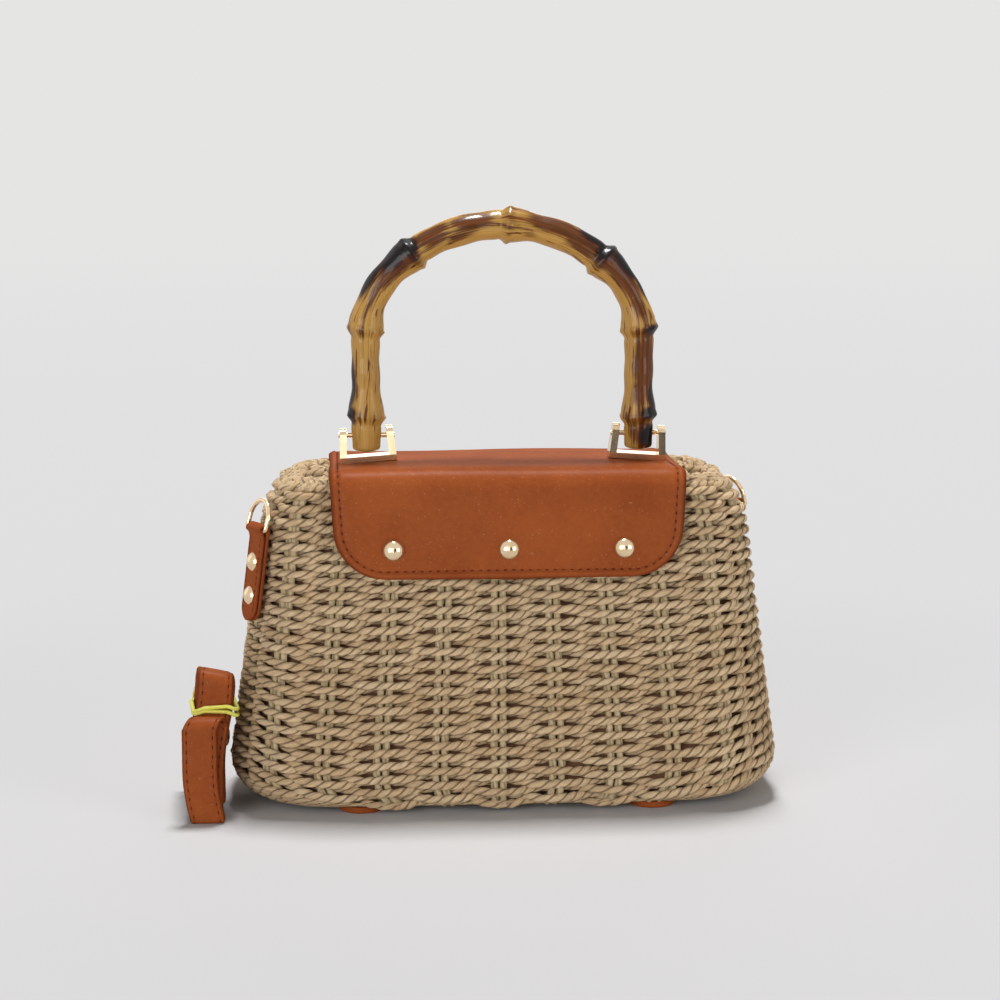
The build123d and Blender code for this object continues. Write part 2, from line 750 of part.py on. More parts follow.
# Snap hooks: a wire eye in the strap's end loop, a swivelling claw and its gate
eye_half = strap_width / 2 + seat_gap + 2 * hook_wire
eye_top = eye_height + hook_eye_height
collar_top = eye_top + hook_collar_height / 2
claw_low = collar_top + seat_gap
claw_middle = claw_low + hook_claw_length / 2
gate_x = hank_x - (hook_claw_width - hook_claw_rim) / 2
for end_y, place in zip(end_ys, ("inner", "outer")):
    hook_plane = Plane(origin=(0, end_y, 0), x_dir=(1, 0, 0), z_dir=(0, -1, 0))
    with BuildPart() as hook_eye:
        with BuildSketch(hook_plane, mode=Mode.PRIVATE) as eye_line:
            with Locations((hank_x, eye_height + hook_eye_height / 2)):
                RectangleRounded(2 * eye_half, hook_eye_height, 2 * hook_wire)
        eye_wire = eye_line.sketch.face().outer_wire()
        with BuildSketch(Plane(origin=eye_wire @ 0, z_dir=eye_wire % 0)):
            Circle(hook_wire)
        sweep(path=eye_wire)
        with BuildSketch(Plane(origin=(hank_x, end_y, collar_top))):
            Circle(hook_collar_radius)
        extrude(amount=-hook_collar_height)
        with Locations((hank_x, end_y, collar_top)):
            Hole(hook_neck_radius + running_gap, depth=hook_collar_height)
    finish(hook_eye, f"hook_eye_{place}")

    with BuildPart() as hook_claw:
        with BuildSketch(hook_plane):
            with Locations((hank_x, claw_middle)):
                SlotOverall(hook_claw_length, hook_claw_width, rotation=90)
                SlotOverall(
                    hook_claw_length - 2 * hook_claw_rim,
                    hook_claw_width - 2 * hook_claw_rim,
                    rotation=90,
                    mode=Mode.SUBTRACT,
                )
            with Locations((gate_x, claw_middle)):
                Rectangle(hook_claw_width / 2, hook_mouth, mode=Mode.SUBTRACT)
        extrude(amount=hook_claw_thickness / 2, both=True)
        neck_low = eye_top - hook_collar_height / 2 - seat_gap
        with BuildSketch(Plane(origin=(hank_x, end_y, neck_low))):
            Circle(hook_neck_radius)
        extrude(amount=claw_low + hook_claw_rim - neck_low)
        with BuildSketch(Plane(origin=(hank_x, end_y, neck_low))):
            Circle(hook_collar_radius)
        extrude(amount=-hook_wire)
    finish(hook_claw, f"hook_claw_{place}")

    with BuildPart() as hook_gate:
        with BuildSketch(hook_plane):
            with Locations((gate_x, claw_middle)):
                Rectangle(hook_claw_rim, hook_mouth - 2 * seat_gap)
        extrude(amount=hook_claw_thickness / 2 - seat_gap, both=True)
    finish(hook_gate, f"hook_gate_{place}")

# Rubber band, wound twice round the hank and crossing over itself
band_stand = seat_gap + band_wire
band_front = hank_front - band_stand
band_back = end_ys[-1] + hook_claw_thickness / 2 + band_stand
with BuildPart() as strap_band:
    for tilt in (-band_tilt, band_tilt):
        band_plane = Plane(
            origin=(hank_x, (band_front + band_back) / 2, band_height),
            x_dir=(cos(radians(tilt)), 0, sin(radians(tilt))),
            z_dir=(-sin(radians(tilt)), 0, cos(radians(tilt))),
        )
        with BuildSketch(band_plane, mode=Mode.PRIVATE) as band_line:
            RectangleRounded(
                (strap_width + 2 * band_stand) / cos(radians(tilt)), band_back - band_front, band_corner
            )
        band_path = band_line.sketch.face().outer_wire()
        with BuildSketch(Plane(origin=band_path @ 0, z_dir=band_path % 0)):
            Circle(band_wire)
        sweep(path=band_path)
finish(strap_band, "strap_band")
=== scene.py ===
"""Dresses the straw handbag: woven rope, stitched leather, scorched bamboo, gold fittings, tied strap."""

import logging
import math
from dataclasses import dataclass, field
from enum import Enum

import bmesh
import bpy
import numpy as np
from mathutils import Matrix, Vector


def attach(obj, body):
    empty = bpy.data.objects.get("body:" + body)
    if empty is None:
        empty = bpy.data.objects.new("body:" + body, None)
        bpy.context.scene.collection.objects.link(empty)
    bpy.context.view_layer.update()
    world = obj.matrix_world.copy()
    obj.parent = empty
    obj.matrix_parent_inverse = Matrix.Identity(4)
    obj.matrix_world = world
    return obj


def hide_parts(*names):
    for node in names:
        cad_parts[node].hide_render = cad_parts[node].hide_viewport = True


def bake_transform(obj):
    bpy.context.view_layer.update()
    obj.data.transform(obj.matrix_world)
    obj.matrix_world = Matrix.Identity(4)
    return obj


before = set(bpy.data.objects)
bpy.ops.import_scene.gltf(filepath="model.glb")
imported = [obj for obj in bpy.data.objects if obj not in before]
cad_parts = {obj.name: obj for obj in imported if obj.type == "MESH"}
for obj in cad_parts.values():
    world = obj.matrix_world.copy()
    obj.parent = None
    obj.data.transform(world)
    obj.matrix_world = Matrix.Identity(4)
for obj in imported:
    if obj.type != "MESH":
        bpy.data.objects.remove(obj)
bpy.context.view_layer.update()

MM = 0.001
TURN = 2 * math.pi
Array = np.ndarray
Colour = tuple[float, float, float]
Patches = tuple[tuple[float, float, float, float, float], ...]
Value = "Signal | float"
log = logging.getLogger("straw_bag")


class Body(Enum):
    """The rigid bodies that pieces ride on."""

    BASKET = "basket"
    FLAP = "flap"
    HANDLE = "handle"


class Slot(Enum):
    """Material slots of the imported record."""

    STRAW = "straw"
    LINING = "lining_cloth"
    LEATHER = "brown_leather"
    BAMBOO = "bamboo"
    RUBBER = "yellow_rubber"


def srgb(red: int, green: int, blue: int) -> Colour:
    """Turns a display colour into linear light.

    Args:
        red: Red, from 0 to 255.
        green: Green, from 0 to 255.
        blue: Blue, from 0 to 255.

    Returns:
        The linear colour.
    """
    shares = (channel / 255 for channel in (red, green, blue))
    return tuple(c / 12.92 if c <= 0.04045 else ((c + 0.055) / 1.055) ** 2.4 for c in shares)


def smooth(low: float, high: float, value: Array) -> Array:
    """Smooth step of a value from 0 at low to 1 at high."""
    t = np.clip((value - low) / (high - low), 0, 1)
    return t * t * (3 - 2 * t)


def bell(value: Array, reach: float) -> Array:
    """Bell curve, 1 where the value is 0 and about a third at the reach."""
    return np.exp(-((value / reach) ** 2))


def unit(vectors: Array) -> Array:
    """Vectors scaled to length one."""
    return vectors / np.maximum(np.linalg.norm(vectors, axis=-1, keepdims=True), 1e-12)


class Signal:
    """An output socket on which Python arithmetic adds Math nodes."""

    def __init__(self, graph: "Graph", socket: bpy.types.NodeSocket) -> None:
        """Wraps a socket of a graph."""
        self.graph = graph
        self.socket = socket

    def __add__(self, other: Value) -> "Signal":
        """Sum with another value."""
        return self.graph.math("ADD", self, other)

    def __sub__(self, other: Value) -> "Signal":
        """Difference from another value."""
        return self.graph.math("SUBTRACT", self, other)

    def __rsub__(self, other: Value) -> "Signal":
        """Another value less this one."""
        return self.graph.math("SUBTRACT", other, self)

    def __mul__(self, other: Value) -> "Signal":
        """Product with another value."""
        return self.graph.math("MULTIPLY", self, other)

    def __truediv__(self, other: Value) -> "Signal":
        """Quotient by another value."""
        return self.graph.math("DIVIDE", self, other)

    __radd__ = __add__
    __rmul__ = __mul__

    def clamped(self) -> "Signal":
        """The value held between 0 and 1."""
        return self.graph.node("ShaderNodeClamp", inputs={"Value": self})

    def between(self, low: float, high: float) -> "Signal":
        """Smooth step of the value from 0 at low to 1 at high."""
        ends = {"Value": self, "From Min": low, "From Max": high}
        return self.graph.node("ShaderNodeMapRange", {"interpolation_type": "SMOOTHSTEP"}, ends)


class Graph:
    """A node tree that is filled by calls."""

    def __init__(self, tree: bpy.types.NodeTree) -> None:
        """Wraps a node tree."""
        self.tree = tree

    def node(
        self, kind: str, settings: dict | None = None, inputs: dict | None = None, out: int | str = 0
    ) -> Signal:
        """Adds a node.

        Args:
            kind: The node's type.
            settings: Its own settings, set first.
            inputs: Values or signals by socket name or number.
            out: The output to hand back.

        Returns:
            The chosen output.
        """
        made = self.tree.nodes.new(kind)
        for key, value in (settings or {}).items():
            setattr(made, key, value)
        for key, value in (inputs or {}).items():
            if isinstance(value, Signal):
                self.tree.links.new(value.socket, made.inputs[key])
            else:
                made.inputs[key].default_value = value
        return Signal(self, made.outputs[out])

    def math(self, operation: str, first: Value, second: Value = 0.0) -> Signal:
        """Adds a Math node on two values."""
        return self.node("ShaderNodeMath", {"operation": operation}, {0: first, 1: second})


class Shader(Graph):
    """A material under construction."""

    def __init__(self, name: str) -> None:
        """Starts an empty material.

        Args:
            name: Its name.
        """
        self.material = bpy.data.materials.new(name)
        self.material.use_nodes = True
        super().__init__(self.material.node_tree)
        self.tree.nodes.clear()

    def place(self) -> Signal:
        """Object coordinates, in metres."""
        return self.node("ShaderNodeTexCoord", out="Object")

    def attribute(self, name: str, out: str = "Fac") -> Signal:
        """A named attribute of the mesh."""
        return self.node("ShaderNodeAttribute", {"attribute_name": name}, out=out)

    def noise(self, vector: Signal, scale: float, detail: float = 3.0, distortion: float = 0.0) -> Signal:
        """Noise from 0 to 1 on a vector."""
        values = {"Vector": vector, "Scale": scale, "Detail": detail, "Distortion": distortion}
        return self.node("ShaderNodeTexNoise", inputs=values)

    def stretched(self, vector: Signal, scale: tuple[float, float, float]) -> Signal:
        """A vector with its axes scaled apart."""
        return self.node("ShaderNodeMapping", inputs={"Vector": vector, "Scale": scale})

    def mix(self, factor: Value, first: Signal | Colour, second: Signal | Colour) -> Signal:
        """Mixes two colours.

        Args:
            factor: Share of the second colour.
            first: First colour.
            second: Second colour.

        Returns:
            The mixed colour.
        """
        ends = [c if isinstance(c, Signal) else (*c, 1.0) for c in (first, second)]
        inputs = {0: factor, 6: ends[0], 7: ends[1]}
        return self.node("ShaderNodeMix", {"data_type": "RGBA"}, inputs, out=2)

    def bump(self, height: Signal, distance: float, strength: float = 1.0) -> Signal:
        """Normal from a height field; the distance is in metres."""
        values = {"Height": height, "Distance": distance, "Strength": strength}
        return self.node("ShaderNodeBump", inputs=values)

    def surface(
        self, varying: dict[str, Signal], constant: dict[str, float | tuple] | None = None
    ) -> bpy.types.Material:
        """Closes the tree with a surface shader.

        Args:
            varying: Signals by socket name.
            constant: Plain values by socket name.

        Returns:
            The finished material.
        """
        shader = self.node("ShaderNodeBsdfPrincipled", inputs={**varying, **(constant or {})})
        return self.closed(shader)

    def closed(self, shader: Signal) -> bpy.types.Material:
        """Links a shader to the output and hands back the material."""
        output = self.tree.nodes.new("ShaderNodeOutputMaterial")
        self.tree.links.new(shader.socket, output.inputs["Surface"])
        return self.material


class Generator(Graph):
    """A Geometry Nodes tree with named inputs."""

    def __init__(self, name: str, inputs: dict[str, str]) -> None:
        """Starts a tree.

        Args:
            name: Its name.
            inputs: Socket type by input name, after the geometry.
        """
        super().__init__(bpy.data.node_groups.new(name, "GeometryNodeTree"))
        face = self.tree.interface
        face.new_socket("Geometry", in_out="INPUT", socket_type="NodeSocketGeometry")
        for key, kind in {**inputs, "Material": "NodeSocketMaterial"}.items():
            face.new_socket(key, in_out="INPUT", socket_type=kind)
        face.new_socket("Geometry", in_out="OUTPUT", socket_type="NodeSocketGeometry")
        self.source = self.tree.nodes.new("NodeGroupInput")

    def given(self, name: str) -> Signal:
        """One of the tree's inputs."""
        return Signal(self, self.source.outputs[name])

    def attribute(self, name: str, kind: str = "FLOAT") -> Signal:
        """A named attribute of the geometry."""
        return self.node("GeometryNodeInputNamedAttribute", {"data_type": kind}, {"Name": name})

    def stored(self, geometry: Signal, name: str, value: Signal, kind: str = "FLOAT") -> Signal:
        """Geometry with a value kept as a named attribute."""
        settings = {"data_type": kind, "domain": "POINT"}
        inputs = {"Geometry": geometry, "Name": name, "Value": value}
        return self.node("GeometryNodeStoreNamedAttribute", settings, inputs)

    def close(self, geometry: Signal) -> None:
        """Ends the tree: realizes, smooths and sets the material."""
        real = self.node("GeometryNodeRealizeInstances", inputs={"Geometry": geometry})
        soft = self.node("GeometryNodeSetShadeSmooth", inputs={"Geometry": real})
        chosen = {"Geometry": soft, "Material": self.given("Material")}
        dressed = self.node("GeometryNodeSetMaterial", inputs=chosen)
        output = self.tree.nodes.new("NodeGroupOutput")
        self.tree.links.new(dressed.socket, output.inputs["Geometry"])

    def run(self, host: bpy.types.Object, values: dict) -> bpy.types.Object:
        """Makes a plain mesh piece from a host.

        Args:
            host: Object with the guide mesh; it is removed.
            values: Values by input name.

        Returns:
            The finished piece, under the host's name.
        """
        modifier = host.modifiers.new("generator", "NODES")
        modifier.node_group = self.tree
        for item in self.tree.interface.items_tree:
            if item.in_out == "INPUT" and item.name in values:
                modifier[item.identifier] = values[item.name]
        return flattened(host)


def flattened(host: bpy.types.Object) -> bpy.types.Object:
    """Swaps an object with modifiers for a plain mesh of the same name."""
    graph = bpy.context.evaluated_depsgraph_get()
    mesh = bpy.data.meshes.new_from_object(
        host.evaluated_get(graph), preserve_all_data_layers=True, depsgraph=graph
    )
    name = host.name
    bpy.data.objects.remove(host)
    piece = bpy.data.objects.new(name, mesh)
    bpy.context.scene.collection.objects.link(piece)
    return piece


def mesh_piece(name: str, points: Array, faces: list, edges: list | Array = ()) -> bpy.types.Object:
    """Adds a mesh object.

    Args:
        name: Its name.
        points: Vertices in millimetres.
        faces: Vertex numbers of each face.
        edges: Vertex pairs of loose edges.

    Returns:
        The object, at the origin.
    """
    mesh = bpy.data.meshes.new(name)
    mesh.from_pydata((np.asarray(points) * MM).tolist(), np.asarray(edges).tolist(), faces)
    piece = bpy.data.objects.new(name, mesh)
    bpy.context.scene.collection.objects.link(piece)
    return piece


def keep(piece: bpy.types.Object, name: str, values: Array) -> None:
    """Stores a number or a vector for each vertex of a piece."""
    flat = np.asarray(values, np.float32)
    vector = flat.ndim == 2
    layer = piece.data.attributes.new(name, "FLOAT_VECTOR" if vector else "FLOAT", "POINT")
    layer.data.foreach_set("vector" if vector else "value", flat.ravel())


def turned_out(piece: bpy.types.Object) -> None:
    """Points a closed mesh's faces outwards and shades it smooth."""
    work = bmesh.new()
    work.from_mesh(piece.data)
    bmesh.ops.recalc_face_normals(work, faces=work.faces)
    work.to_mesh(piece.data)
    work.free()
    piece.data.shade_smooth()


def tube_faces(count: int, sides: int) -> list[list[int]]:
    """Faces of a capped tube of rings.

    Args:
        count: Number of rings.
        sides: Vertices of each ring.

    Returns:
        Vertex numbers of each face.
    """
    grid = np.arange(count * sides).reshape(count, sides)
    follow = np.roll(grid, -1, axis=1)
    quads = np.stack((grid[:-1], grid[1:], follow[1:], follow[:-1]), axis=-1).reshape(-1, 4)
    return quads.tolist() + [grid[0].tolist(), grid[-1, ::-1].tolist()]


def dress(piece: bpy.types.Object, material: bpy.types.Material) -> None:
    """Gives a piece its one material."""
    piece.data.materials.clear()
    piece.data.materials.append(material)


def settle(piece: bpy.types.Object, body: Body, slot: Slot, *nodes: str) -> bpy.types.Object:
    """Hangs a finished piece on its body and hides the solids that it replaces.

    Args:
        piece: The piece.
        body: The body it moves with.
        slot: The record's material slot; not used.
        nodes: Solids that it replaces.

    Returns:
        The piece.
    """
    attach(piece, body.value)
    if nodes:
        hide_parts(*nodes)
    log.info("%s: %d faces on %s", piece.name, len(piece.data.polygons), body.value)
    return piece


@dataclass
class Strand:
    """A guide line for a rope or a row of stitches, in millimetres."""

    points: Array
    closed: bool = False
    thick: Array | float = 1.0
    tone: float = 0.5
    facing: Array | None = None
    twist: Array | float = 0.0


def guide(name: str, strands: list[Strand]) -> bpy.types.Object:
    """Makes one mesh of edges from several strands.

    Args:
        name: Name of the piece to be.
        strands: The lines.

    Returns:
        The host object, with thick, tone, twist and facing attributes.
    """
    edges, start = [], 0
    for strand in strands:
        count = len(strand.points)
        first = np.arange(start, start + count - (not strand.closed))
        second = start + (first - start + 1) % count
        edges.append(np.column_stack((first, second)))
        start += count
    host = mesh_piece(name, np.vstack([s.points for s in strands]), [], np.vstack(edges))
    keep(host, "thick", np.concatenate([np.broadcast_to(s.thick, len(s.points)) for s in strands]))
    keep(host, "tone", np.concatenate([np.full(len(s.points), s.tone) for s in strands]))
    keep(host, "twist", np.concatenate([np.broadcast_to(s.twist, len(s.points)) for s in strands]))
    if strands[0].facing is not None:
        keep(host, "facing", np.vstack([np.broadcast_to(s.facing, s.points.shape) for s in strands]))
    return host


class RopeMaker(Generator):
    """Turns guide lines into twisted two-ply rope."""

    def __init__(self) -> None:
        """Builds the tree."""
        sizes = ("Lobe", "Waist", "Pitch")
        super().__init__("rope_maker", {**{s: "NodeSocketFloat" for s in sizes}, "Sides": "NodeSocketInt"})
        line = self.node("GeometryNodeMeshToCurve", inputs={"Mesh": self.given("Geometry")})
        share = self.node("GeometryNodeSplineParameter")
        along = self.node("GeometryNodeSplineParameter", out="Length")
        whole = self.node("GeometryNodeSplineLength")
        turns = self.math("ROUND", whole / self.given("Pitch"))
        start = self.attribute("tone") * TURN + self.attribute("twist")
        tilt = start - share * turns * TURN
        line = self.stored(line, "along", along)
        line = self.node("GeometryNodeSetCurveTilt", inputs={"Curve": line, "Tilt": tilt})
        circle = {"Resolution": self.given("Sides"), "Radius": 1.0}
        ring = self.node("GeometryNodeCurvePrimitiveCircle", inputs=circle)
        spot = self.node("GeometryNodeInputPosition")
        ring = self.stored(ring, "section", spot, "FLOAT_VECTOR")
        x = self.node("ShaderNodeSeparateXYZ", inputs={0: spot})
        reach = self.given("Waist") + (self.given("Lobe") - self.given("Waist")) * (x * x)
        shaped = self.node("ShaderNodeVectorMath", {"operation": "SCALE"}, {0: spot, "Scale": reach})
        ring = self.node("GeometryNodeSetPosition", inputs={"Geometry": ring, "Position": shaped})
        swept = {"Curve": line, "Profile Curve": ring, "Scale": self.attribute("thick"), "Fill Caps": True}
        self.close(self.node("GeometryNodeCurveToMesh", inputs=swept))


class StitchMaker(Generator):
    """Sets a row of sunk stitches along guide lines."""

    def __init__(self) -> None:
        """Builds the tree."""
        sizes = ("Pitch", "Length", "Width", "Height")
        super().__init__("stitch_maker", {s: "NodeSocketFloat" for s in sizes})
        line = self.node("GeometryNodeMeshToCurve", inputs={"Mesh": self.given("Geometry")})
        spaced = self.node(
            "GeometryNodeResampleCurve", {"mode": "LENGTH"}, {"Curve": line, "Length": self.given("Pitch")}
        )
        ball = self.node("GeometryNodeMeshUVSphere", inputs={"Segments": 6, "Rings": 5, "Radius": 0.5})
        sizes_out = {"X": self.given("Length"), "Y": self.given("Width"), "Z": self.given("Height")}
        scale = self.node("ShaderNodeCombineXYZ", inputs=sizes_out)
        thread = self.node("GeometryNodeTransform", inputs={"Geometry": ball, "Scale": scale})
        tangent = self.node("GeometryNodeInputTangent")
        aimed = self.node("FunctionNodeAlignRotationToVector", {"axis": "X"}, {"Vector": tangent})
        faced = self.node(
            "FunctionNodeAlignRotationToVector",
            {"axis": "Z", "pivot_axis": "X"},
            {"Rotation": aimed, "Vector": self.attribute("facing", "FLOAT_VECTOR")},
        )
        row = self.node(
            "GeometryNodeInstanceOnPoints", inputs={"Points": spaced, "Instance": thread, "Rotation": faced}
        )
        self.close(row)


@dataclass(frozen=True)
class StrawFinish:
    """Twisted paper straw: fibres that follow the twist, painted shade in the creases between the plies, and
    uneven tone.
    """

    name: str
    light: Colour
    dark: Colour
    # colour of the painted shade in the creases between the plies; the dark streaks and wrinkles use it too
    crease_shade: Colour
    ochre: Colour = srgb(196, 152, 96)
    fibre_scale: float = 2.6
    fibre_run: float = 130.0

    def material(self) -> bpy.types.Material:
        """Builds the material."""
        s = Shader(self.name)
        section = s.attribute("section", "Vector")
        along = s.attribute("along")
        tone = s.attribute("tone")
        run = s.node("ShaderNodeCombineXYZ", inputs={"Z": along * self.fibre_run + tone * 40.0})
        fibre_place = s.node("ShaderNodeVectorMath", {"operation": "ADD"}, {0: section, 1: run})
        fibres = s.noise(s.stretched(fibre_place, (self.fibre_scale, self.fibre_scale, 0.35)), 2.2, 5.0)
        streaks = s.noise(s.stretched(fibre_place, (9.0, 9.0, 0.5)), 1.7, 4.0, 0.5)
        patches = s.noise(s.place(), 85.0, 3.0)
        across = s.node("ShaderNodeSeparateXYZ", inputs={0: section})
        wrinkle = s.noise(s.stretched(fibre_place, (3.2, 3.2, 0.6)), 1.4, 4.0, 1.5)
        # painted shade: the waist between the two plies, where shade falls, is darkened towards the crease
        # colour
        crease_shade = 1 - (across * across + wrinkle * 0.16 - 0.08).between(0.0, 0.17)
        shade = (fibres * 0.5 + streaks * 0.45 + patches * 0.4 + tone * 0.15 - 0.25).clamped()
        colour = s.mix(shade.between(0.2, 0.75), self.dark, self.light)
        colour = s.mix(patches.between(0.56, 0.72) * 0.45, colour, self.ochre)
        # dark fibre streaks and wrinkle lines take the same dark colour as the painted crease shade
        colour = s.mix(streaks.between(0.58, 0.68) * 0.5, colour, self.crease_shade)
        colour = s.mix(wrinkle.between(0.62, 0.7) * 0.5, colour, self.crease_shade)
        colour = s.mix(crease_shade * 0.75, colour, self.crease_shade)
        height = fibres * 0.5 + streaks * 0.7 + wrinkle * 0.6 + across * across * 0.3
        normal = s.bump(height, 0.0009, 1.0)
        rough = fibres * 0.25 + 0.6
        varying = {"Base Color": colour, "Roughness": rough, "Normal": normal}
        return s.surface(varying, {"Specular IOR Level": 0.25, "Sheen Weight": 0.08})


@dataclass(frozen=True)
class LeatherFinish:
    """Tan leather: fine pebble grain, cloudy dye, pale specks of painted glint from the grain's sheen, and
    darker worn edges.
    """

    name: str
    light: Colour
    dark: Colour
    edge: Colour
    grain_scale: float = 1500.0

    def material(self) -> bpy.types.Material:
        """Builds the material."""
        s = Shader(self.name)
        place = s.place()
        edge = s.attribute("edge")
        cloud = s.noise(place, 26.0, 4.0, 0.4)
        pores = s.noise(place, 420.0, 3.0)
        pebbles = {"Vector": place, "Scale": self.grain_scale}
        cells = s.node("ShaderNodeTexVoronoi", {"feature": "F1"}, pebbles)
        # painted highlight: pale specks stand in for glints of sheen off the grain
        painted_glint = s.noise(place, 900.0, 2.0).between(0.66, 0.74)
        shade = (cloud * 0.8 + pores * 0.35 - 0.08).clamped()
        colour = s.mix(shade.between(0.2, 0.8), self.dark, self.light)
        # mixes in the pale colour of the painted glints
        colour = s.mix(painted_glint * 0.16, colour, (0.75, 0.5, 0.32))
        colour = s.mix(edge * 0.75, colour, self.edge)
        height = cells * 0.55 + pores * 0.6
        rough = pores * 0.2 + cloud * 0.12 + 0.46
        varying = {"Base Color": colour, "Roughness": rough, "Normal": s.bump(height, 0.00022, 0.55)}
        return s.surface(varying, {"Specular IOR Level": 0.0, "Coat Weight": 0.12, "Coat Roughness": 0.4})


@dataclass(frozen=True)
class GoldFinish:
    """Pale gold plating: bright, with faint smears and hairlines."""

    name: str
    colour: Colour
    smear: Colour
    rough: float = 0.13

    def material(self) -> bpy.types.Material:
        """Builds the material."""
        s = Shader(self.name)
        place = s.place()
        smear = s.noise(place, 160.0, 4.0)
        hairs = s.noise(s.stretched(place, (60.0, 60.0, 1.0)), 60.0, 2.0)
        colour = s.mix(smear.between(0.35, 0.75), self.colour, self.smear)
        rough = smear * 0.1 + hairs * 0.06 + (self.rough - 0.06)
        varying = {"Base Color": colour, "Roughness": rough, "Normal": s.bump(hairs, 0.00002, 0.4)}
        return s.surface(varying, {"Metallic": 0.9})


@dataclass(frozen=True)
class BambooFinish:
    """Lacquered bamboo: honey cane with brown streaks, mottling and scorched patches."""

    name: str
    honey: Colour
    pale: Colour
    brown: Colour
    umber: Colour
    black: Colour

    def material(self) -> bpy.types.Material:
        """Builds the material."""
        s = Shader(self.name)
        section = s.attribute("section", "Vector")
        along = s.attribute("along")
        burn = s.attribute("burn")
        stain = s.attribute("stain")
        knot = s.attribute("knot")
        run = s.node("ShaderNodeCombineXYZ", inputs={"Z": along * 26.0})
        grain_place = s.node("ShaderNodeVectorMath", {"operation": "ADD"}, {0: section, 1: run})
        across = s.node("ShaderNodeSeparateXYZ", inputs={0: section})
        skewed = s.node("ShaderNodeCombineXYZ", inputs={"Z": along * 75.0 + across * 2.2})
        slanted = {0: section, 1: (3.4,) * 3, 2: skewed}
        dash_place = s.node("ShaderNodeVectorMath", {"operation": "MULTIPLY_ADD"}, slanted)
        streaks = s.noise(s.stretched(grain_place, (5.0, 5.0, 0.55)), 1.6, 5.0, 0.6)
        mottle = s.noise(s.stretched(grain_place, (1.6, 1.6, 1.5)), 1.5, 6.0, 1.2)
        dashes = s.noise(dash_place, 1.0, 3.0, 0.4)
        fine = s.noise(s.stretched(grain_place, (16.0, 16.0, 0.8)), 2.0, 3.0)
        colour = s.mix(fine.between(0.3, 0.7), self.honey, self.pale)
        tan = stain * 1.05 + streaks * 0.85 + mottle * 0.55 + knot * 0.25 + dashes * 0.5
        flecks = (dashes + stain * 0.06).between(0.6, 0.68)
        toned = s.mix(streaks.between(0.4, 0.62), self.brown, self.umber)
        colour = s.mix((tan.between(1.1, 1.56) + flecks).clamped() * 0.92, colour, toned)
        heat = burn * 1.15 + streaks * 0.5 + mottle * 0.3
        colour = s.mix(heat.between(0.55, 1.1), colour, self.umber)
        colour = s.mix(heat.between(0.9, 1.35), colour, self.black)
        rough = fine * 0.12 + 0.28
        height = fine * 0.4 + streaks * 0.5 + mottle * 0.3
        varying = {"Base Color": colour, "Roughness": rough, "Normal": s.bump(height, 0.0002, 0.5)}
        return s.surface(varying, {"Coat Weight": 0.22, "Coat Roughness": 0.08, "Specular IOR Level": 0.1})


@dataclass(frozen=True)
class ClothFinish:
    """Plain-woven lining cloth."""

    name: str
    light: Colour
    dark: Colour
    threads: float = 900.0

    def material(self) -> bpy.types.Material:
        """Builds the material."""
        s = Shader(self.name)
        place = s.attribute("cloth", "Vector")
        parts = [s.node("ShaderNodeSeparateXYZ", inputs={0: place}, out=axis) for axis in ("X", "Y")]
        warp, weft = (s.math("SINE", part * (self.threads * TURN)) for part in parts)
        weave = warp * weft * 0.5 + 0.5
        cloud = s.noise(s.place(), 40.0, 3.0)
        colour = s.mix((weave * 0.6 + cloud * 0.5).clamped(), self.dark, self.light)
        varying = {"Base Color": colour, "Roughness": cloud * 0.1 + 0.82, "Normal": s.bump(weave, 0.0002)}
        return s.surface(varying, {"Sheen Weight": 0.2})


@dataclass(frozen=True)
class RubberFinish:
    """Dull rubber with a dusty bloom."""

    name: str
    colour: Colour
    dusty: Colour

    def material(self) -> bpy.types.Material:
        """Builds the material."""
        s = Shader(self.name)
        bloom = s.noise(s.place(), 500.0, 4.0)
        colour = s.mix(bloom.between(0.3, 0.8), self.colour, self.dusty)
        varying = {"Base Color": colour, "Roughness": bloom * 0.2 + 0.45, "Normal": s.bump(bloom, 0.0001)}
        return s.surface(varying)


@dataclass
class Finishes:
    """All materials of the bag."""

    rope: bpy.types.Material = field(init=False)
    stake: bpy.types.Material = field(init=False)
    leather: bpy.types.Material = field(init=False)
    thread: bpy.types.Material = field(init=False)
    gold: bpy.types.Material = field(init=False)
    bamboo: bpy.types.Material = field(init=False)
    cloth: bpy.types.Material = field(init=False)
    rubber: bpy.types.Material = field(init=False)

    def __post_init__(self) -> None:
        """Builds each finish once."""
        # the fourth colour of each straw finish is its painted crease shade
        rope = StrawFinish("straw_rope", srgb(254, 226, 183), srgb(210, 171, 122), srgb(98, 62, 34))
        stake = StrawFinish("straw_stake", srgb(236, 214, 172), srgb(200, 176, 132), srgb(160, 138, 100))
        tan = LeatherFinish("tan_leather", srgb(155, 81, 39), srgb(132, 64, 30), srgb(104, 45, 18))
        thread = LeatherFinish("brown_thread", srgb(112, 48, 20), srgb(76, 30, 14), srgb(90, 36, 16))
        gold = GoldFinish("pale_gold", srgb(238, 214, 178), srgb(226, 196, 150))
        cane = BambooFinish(
            "scorched_bamboo",
            honey=srgb(167, 122, 55),
            pale=srgb(187, 147, 79),
            brown=srgb(98, 42, 12),
            umber=srgb(58, 21, 7),
            black=srgb(20, 13, 14),
        )
        self.rope, self.stake = rope.material(), stake.material()
        self.leather, self.thread = tan.material(), thread.material()
        self.gold, self.bamboo = gold.material(), cane.material()
        self.cloth = ClothFinish("lining_cloth", srgb(150, 108, 76), srgb(120, 84, 58)).material()
        self.rubber = RubberFinish("yellow_rubber", srgb(206, 200, 62), srgb(216, 212, 110)).material()


